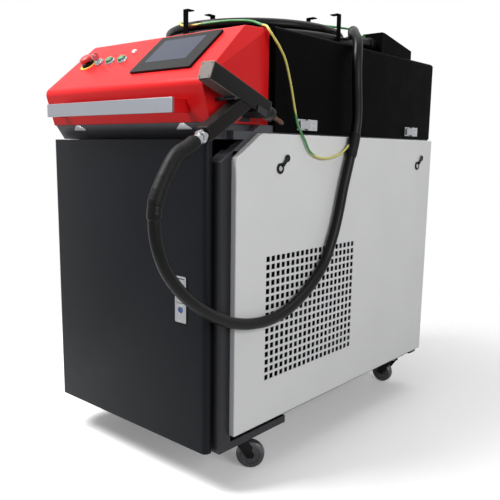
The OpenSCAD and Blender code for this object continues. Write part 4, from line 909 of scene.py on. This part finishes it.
hood_coat = finish(
    "hood_black_coat", (0.0014, 0.0014, 0.0015), 0.5, (0.02, 0.02, 0.022), specular=0.015,
    mottling=0.08, edge_wear=0.3, edge_radius=0.0015, dust=0.01, smudges=0.25, grain_scale=1000,
    grain_depth=0.05, dust_colour=(0.16, 0.16, 0.165, 1),
)
dress("hood_shell", 0, hood_coat, "cabinet", "black_frame")
dress("hose_hooks", 0.8, hood_coat, "cabinet", "black_frame")
dress("hood_latch_bases", 0.5, zinc, "cabinet", "zinc")
dress("hood_latch_lever_front", 0.5, chrome, "front_draw_latch", "bright_steel")
dress("hood_latch_lever_rear", 0.5, chrome, "rear_draw_latch", "bright_steel")

# Hose outlet: a sloped box with screws, and a moulded gland whose nut has grip ribs
hood_top, outlet_y, outlet_h, outlet_fall, outlet_d = 1110, 736, 60, 32, 171
dress("outlet_box", 1.6, hood_coat, "cabinet", "black_frame", 3)
keep(turned("outlet_gland", [
    (0, 0), (16, 0), (16, 12.6), (17.2, 13.2), (17.2, 24.2), (15.4, 26), (14, 26), (13.7, 24),
    (0, 24),
], seat(coil_r, 720, gland_z, (90, "X"))), moulded, "cabinet", "black_plastic", "hose_gland")
rib = turned("gland_rib", [(0, 0), (1.1, 0.4), (1.1, 9.4), (0, 10)], sides=6)
keep(repeated(
    "gland_ribs", rib, ring_tree, seat(coil_r, 706.4, gland_z, (90, "X")), count=20, radius=17.1,
    material=moulded,
), None, "cabinet", "black_plastic")
for label, y in (("front", 744), ("rear", 892)):
    z = hood_top + outlet_h - (y - outlet_y) * outlet_fall / outlet_d - 0.3
    keep(repeated(
        "outlet_screws_" + label, screw(3.2, 1.6), grid_tree, seat(coil_r, y, z, (-10.6, "X")),
        columns=2, rows=1, column_pitch=50.0, row_pitch=10.0, material=chrome,
    ), None, "cabinet", "bright_steel")

# Gun --------------------------------------------------------------------------
# A milled aluminium body, black anodised, with a plain end cap, a slanted grip with a red
# trigger, and a copper nozzle in a knurled holder. The pale edges of the body and the grip are
# partly rubbed wear and partly painted highlight.

gun_x, cap_y, cap_z, barrel_tilt = 345, -45, 983.7, -20.8
barrel_l, holder_l, grip_y, grip_z, grip_lean = 200, 30, 122, -19.5, -38
# The light warm edge colours at strong edge wear are partly rubbed anodising and partly painted
# highlight
gun_coat = finish(
    "gun_black_anodised", (0.006, 0.005, 0.005), 0.36, (0.58, 0.54, 0.50), specular=0.12,
    mottling=0.08, edge_wear=1.0, edge_radius=0.0026, dust=0.03, smudges=0.3, grain_scale=800,
    grain_depth=0.05,
)
grip_coat = finish(
    "gun_grip_coat", (0.006, 0.005, 0.0045), 0.40, (0.52, 0.48, 0.44), specular=0.1, mottling=0.08,
    edge_wear=0.8, edge_radius=0.0024, dust=0.03, smudges=0.3, grain_scale=600, grain_depth=0.16,
)
milled = finish(
    "milled_metal", (0.13, 0.112, 0.104), 0.5, (0.40, 0.37, 0.35), metallic=0.3, specular=0.2,
    mottling=0.08, edge_wear=0.6, dust=0.02, smudges=0.3, grain_scale=900, grain_depth=0.05,
    stretch=(1, 0.05, 1),
)
copper = finish(
    "nozzle_copper", (0.11, 0.055, 0.036), 0.36, (0.45, 0.26, 0.16), metallic=0.95, mottling=0.2,
    edge_wear=0.4, dust=0.02, smudges=0.4, grain_scale=500, grain_depth=0.04,
)
trigger_red = finish("trigger_red", (0.22, 0.008, 0.008), 0.35, (0.4, 0.06, 0.05), mottling=0.06)


def on_gun(y, z=0, degrees=0):
    """A seat on the gun: along its barrel from the rear cap's middle, above it, and tipped."""
    cap = seat(gun_x, cap_y, cap_z, (barrel_tilt, "X"))
    return cap @ Matrix.Translation((0, y, z)) @ Matrix.Rotation(math.radians(degrees), 4, "X")


dress("gun_barrel", 1.0, gun_coat, "cabinet", "gun_body")
dress("gun_handle", 1.4, grip_coat, "cabinet", "gun_grip")
dress("gun_trigger", 0.8, trigger_red, "trigger", "trigger_red")


def cut_square(half_x, half_y, cut):
    """A rectangle's outline with its corners cut off."""
    return [
        (-half_x + cut, -half_y), (half_x - cut, -half_y), (half_x, -half_y + cut),
        (half_x, half_y - cut), (half_x - cut, half_y), (-half_x + cut, half_y),
        (-half_x, half_y - cut), (-half_x, -half_y + cut),
    ]


# End cap, screwed on, and the bright milled strip along the barrel's underside
keep(flat_plate("gun_cap", cut_square(18.3, 19.3, 2.6), 2.0, on_gun(0.9, 0, 90)), milled,
     "cabinet", "gun_body")
keep(repeated(
    "gun_cap_screws", screw(1.7, 0.8), grid_tree, on_gun(-1.0, 0, 90), columns=2, rows=2,
    column_pitch=27.0, row_pitch=29.0, material=gun_coat,
), None, "cabinet", "gun_body")
keep(flat_plate("gun_keel", cut_square(17.4, 47, 1.2), 1.6, on_gun(50, -20.4)), milled,
     "cabinet", "gun_body")

# Gland between the grip and the hose: two bright rings with a groove between them
keep(turned("gun_gland_rings", [
    (0, -158), (12.2, -158), (13, -157), (13, -150), (11.2, -149), (11.2, -146.4), (13.2, -145.4),
    (15, -144.4), (15, -134.6), (13.8, -133), (0, -133),
], on_gun(grip_y, grip_z, grip_lean)), chrome, "cabinet", "bright_steel", "gun_gland")

# Nozzle holder with knurled ribs, and the copper nozzle
keep(turned("nozzle_holder_body", [
    (0, -9.6), (14, -9.6), (14, 0), (16.4, 0), (16.4, 2), (15.2, 3), (15.2, 19), (16.6, 20),
    (16.6, 26), (13.2, holder_l), (5.6, holder_l), (5.4, 26), (0, 26),
], on_gun(barrel_l, 0, -90)), gun_coat, "cabinet", "gun_body", "gun_nozzle_holder")
knurl = turned("knurl", [(0, 0), (0.9, 0.6), (0.9, 14.4), (0, 15)], sides=6)
keep(repeated(
    "nozzle_holder_knurl", knurl, ring_tree, on_gun(barrel_l + 3.5, 0, -90), count=32, radius=15.6,
    material=gun_coat,
), None, "cabinet", "gun_body")
keep(turned("nozzle_tip", [
    (0, -3), (5.2, -3), (5.2, 0), (6, 0.4), (6, 22), (5.4, 23), (5.4, 25), (6, 26), (5.8, 37),
    (3.1, 45), (1.3, 45), (1.0, 42), (0, 42),
], on_gun(barrel_l + holder_l, 0, -90), 28), copper, "cabinet", "copper", "gun_nozzle")

# Holder: a bent steel plate on the console's side with a peg and a lipped arm, two screws
dress("gun_holder", 0.6, black_coat, "cabinet", "black_frame")
keep(repeated(
    "gun_holder_screws", screw(4.2, 2.2), grid_tree, seat(306.9, 99, 940, (90, "Y"), (90, "Z")),
    columns=2, rows=1, column_pitch=60.0, row_pitch=1.0, material=chrome,
), None, "cabinet", "bright_steel")

# Casters ----------------------------------------------------------------------
# Four 75 mm swivel casters: a zinc top plate with four bolts, a black fork on a kingpin, and
# a dark grey polyurethane wheel with a bright bearing cap on each side.

wheel_r, trail = 37.5, 35
tread = finish(
    "caster_tread", (0.026, 0.027, 0.033), 0.24, (0.06, 0.06, 0.07), specular=0.7, mottling=0.1,
    edge_wear=0.2, dust=0.1, smudges=0.3, grain_scale=300, grain_depth=0.1,
)
coat(zinc, "caster_plates")
for corner, x, y, way in (
    ("front_right", 252, 166, 36), ("front_left", -252, 166, 60),
    ("rear_right", 252, 988, 175), ("rear_left", -252, 988, 233),
):
    fork = "fork_" + corner
    wheel = "wheel_" + corner
    dress(fork, 0.8, moulded, fork, "black_plastic")
    a = math.radians(way)
    hub = seat(x + trail * math.cos(a), y + trail * math.sin(a), wheel_r, (way, "Z"), (90, "X"))
    keep(turned(wheel + "_tread", [
        (0, -13), (9, -13), (14.5, -12.4), (15, -9.2), (24.4, -9.2), (25.4, -12), (30, -12),
        (34, -11.4), (36.6, -9), (wheel_r, -5), (wheel_r, 5), (36.6, 9), (34, 11.4), (30, 12),
        (25.4, 12), (24.4, 9.2), (15, 9.2), (14.5, 12.4), (9, 13), (0, 13),
    ], hub, 48), tread, wheel, "tyre_rubber", wheel)
    for label, side in (("_cap_a", -1), ("_cap_b", 1)):
        cap = turned(wheel + label, [
            (0, side * 12.8), (8.4, side * 12.8), (8.4, side * 13.4), (7.4, side * 13.9),
            (0, side * 13.9),
        ], hub, 20)
        keep(cap, chrome, wheel, "bright_steel")
    bolt = turned("bolt", [(0, 0), (5.5, 0), (5.5, 2.6), (4.6, 3.2), (0, 3.2)], sides=6)
    keep(repeated(
        "caster_bolts_" + corner, bolt, grid_tree, seat(x, y, 102.1, (180, "X")), columns=2, rows=2,
        column_pitch=48.0, row_pitch=66.0, material=zinc,
    ), None, "cabinet", "zinc")

# Inside -----------------------------------------------------------------------
# A folded shelf carries the laser source, a closed case with two grabs. Below it stand the
# chiller's moulded tank and its fan, whose shroud faces the right panel's holes.

case_grey = finish(
    "laser_case_grey", (0.28, 0.29, 0.31), 0.42, (0.5, 0.5, 0.5), mottling=0.04, edge_wear=0.3,
    grain_scale=900, grain_depth=0.05,
)
natural = finish(
    "tank_natural_plastic", (0.56, 0.60, 0.61), 0.4, mottling=0.06, edge_wear=0.0, grain_scale=300,
    grain_depth=0.08,
)
dress("laser_source", 1.5, case_grey, "cabinet", "laser_case")
dress("chiller_tank", 6, natural, "cabinet", "tank_plastic", 3)
coat(black_coat, "equipment_shelf")
coat(moulded, "fan_blades", "fan_shroud")
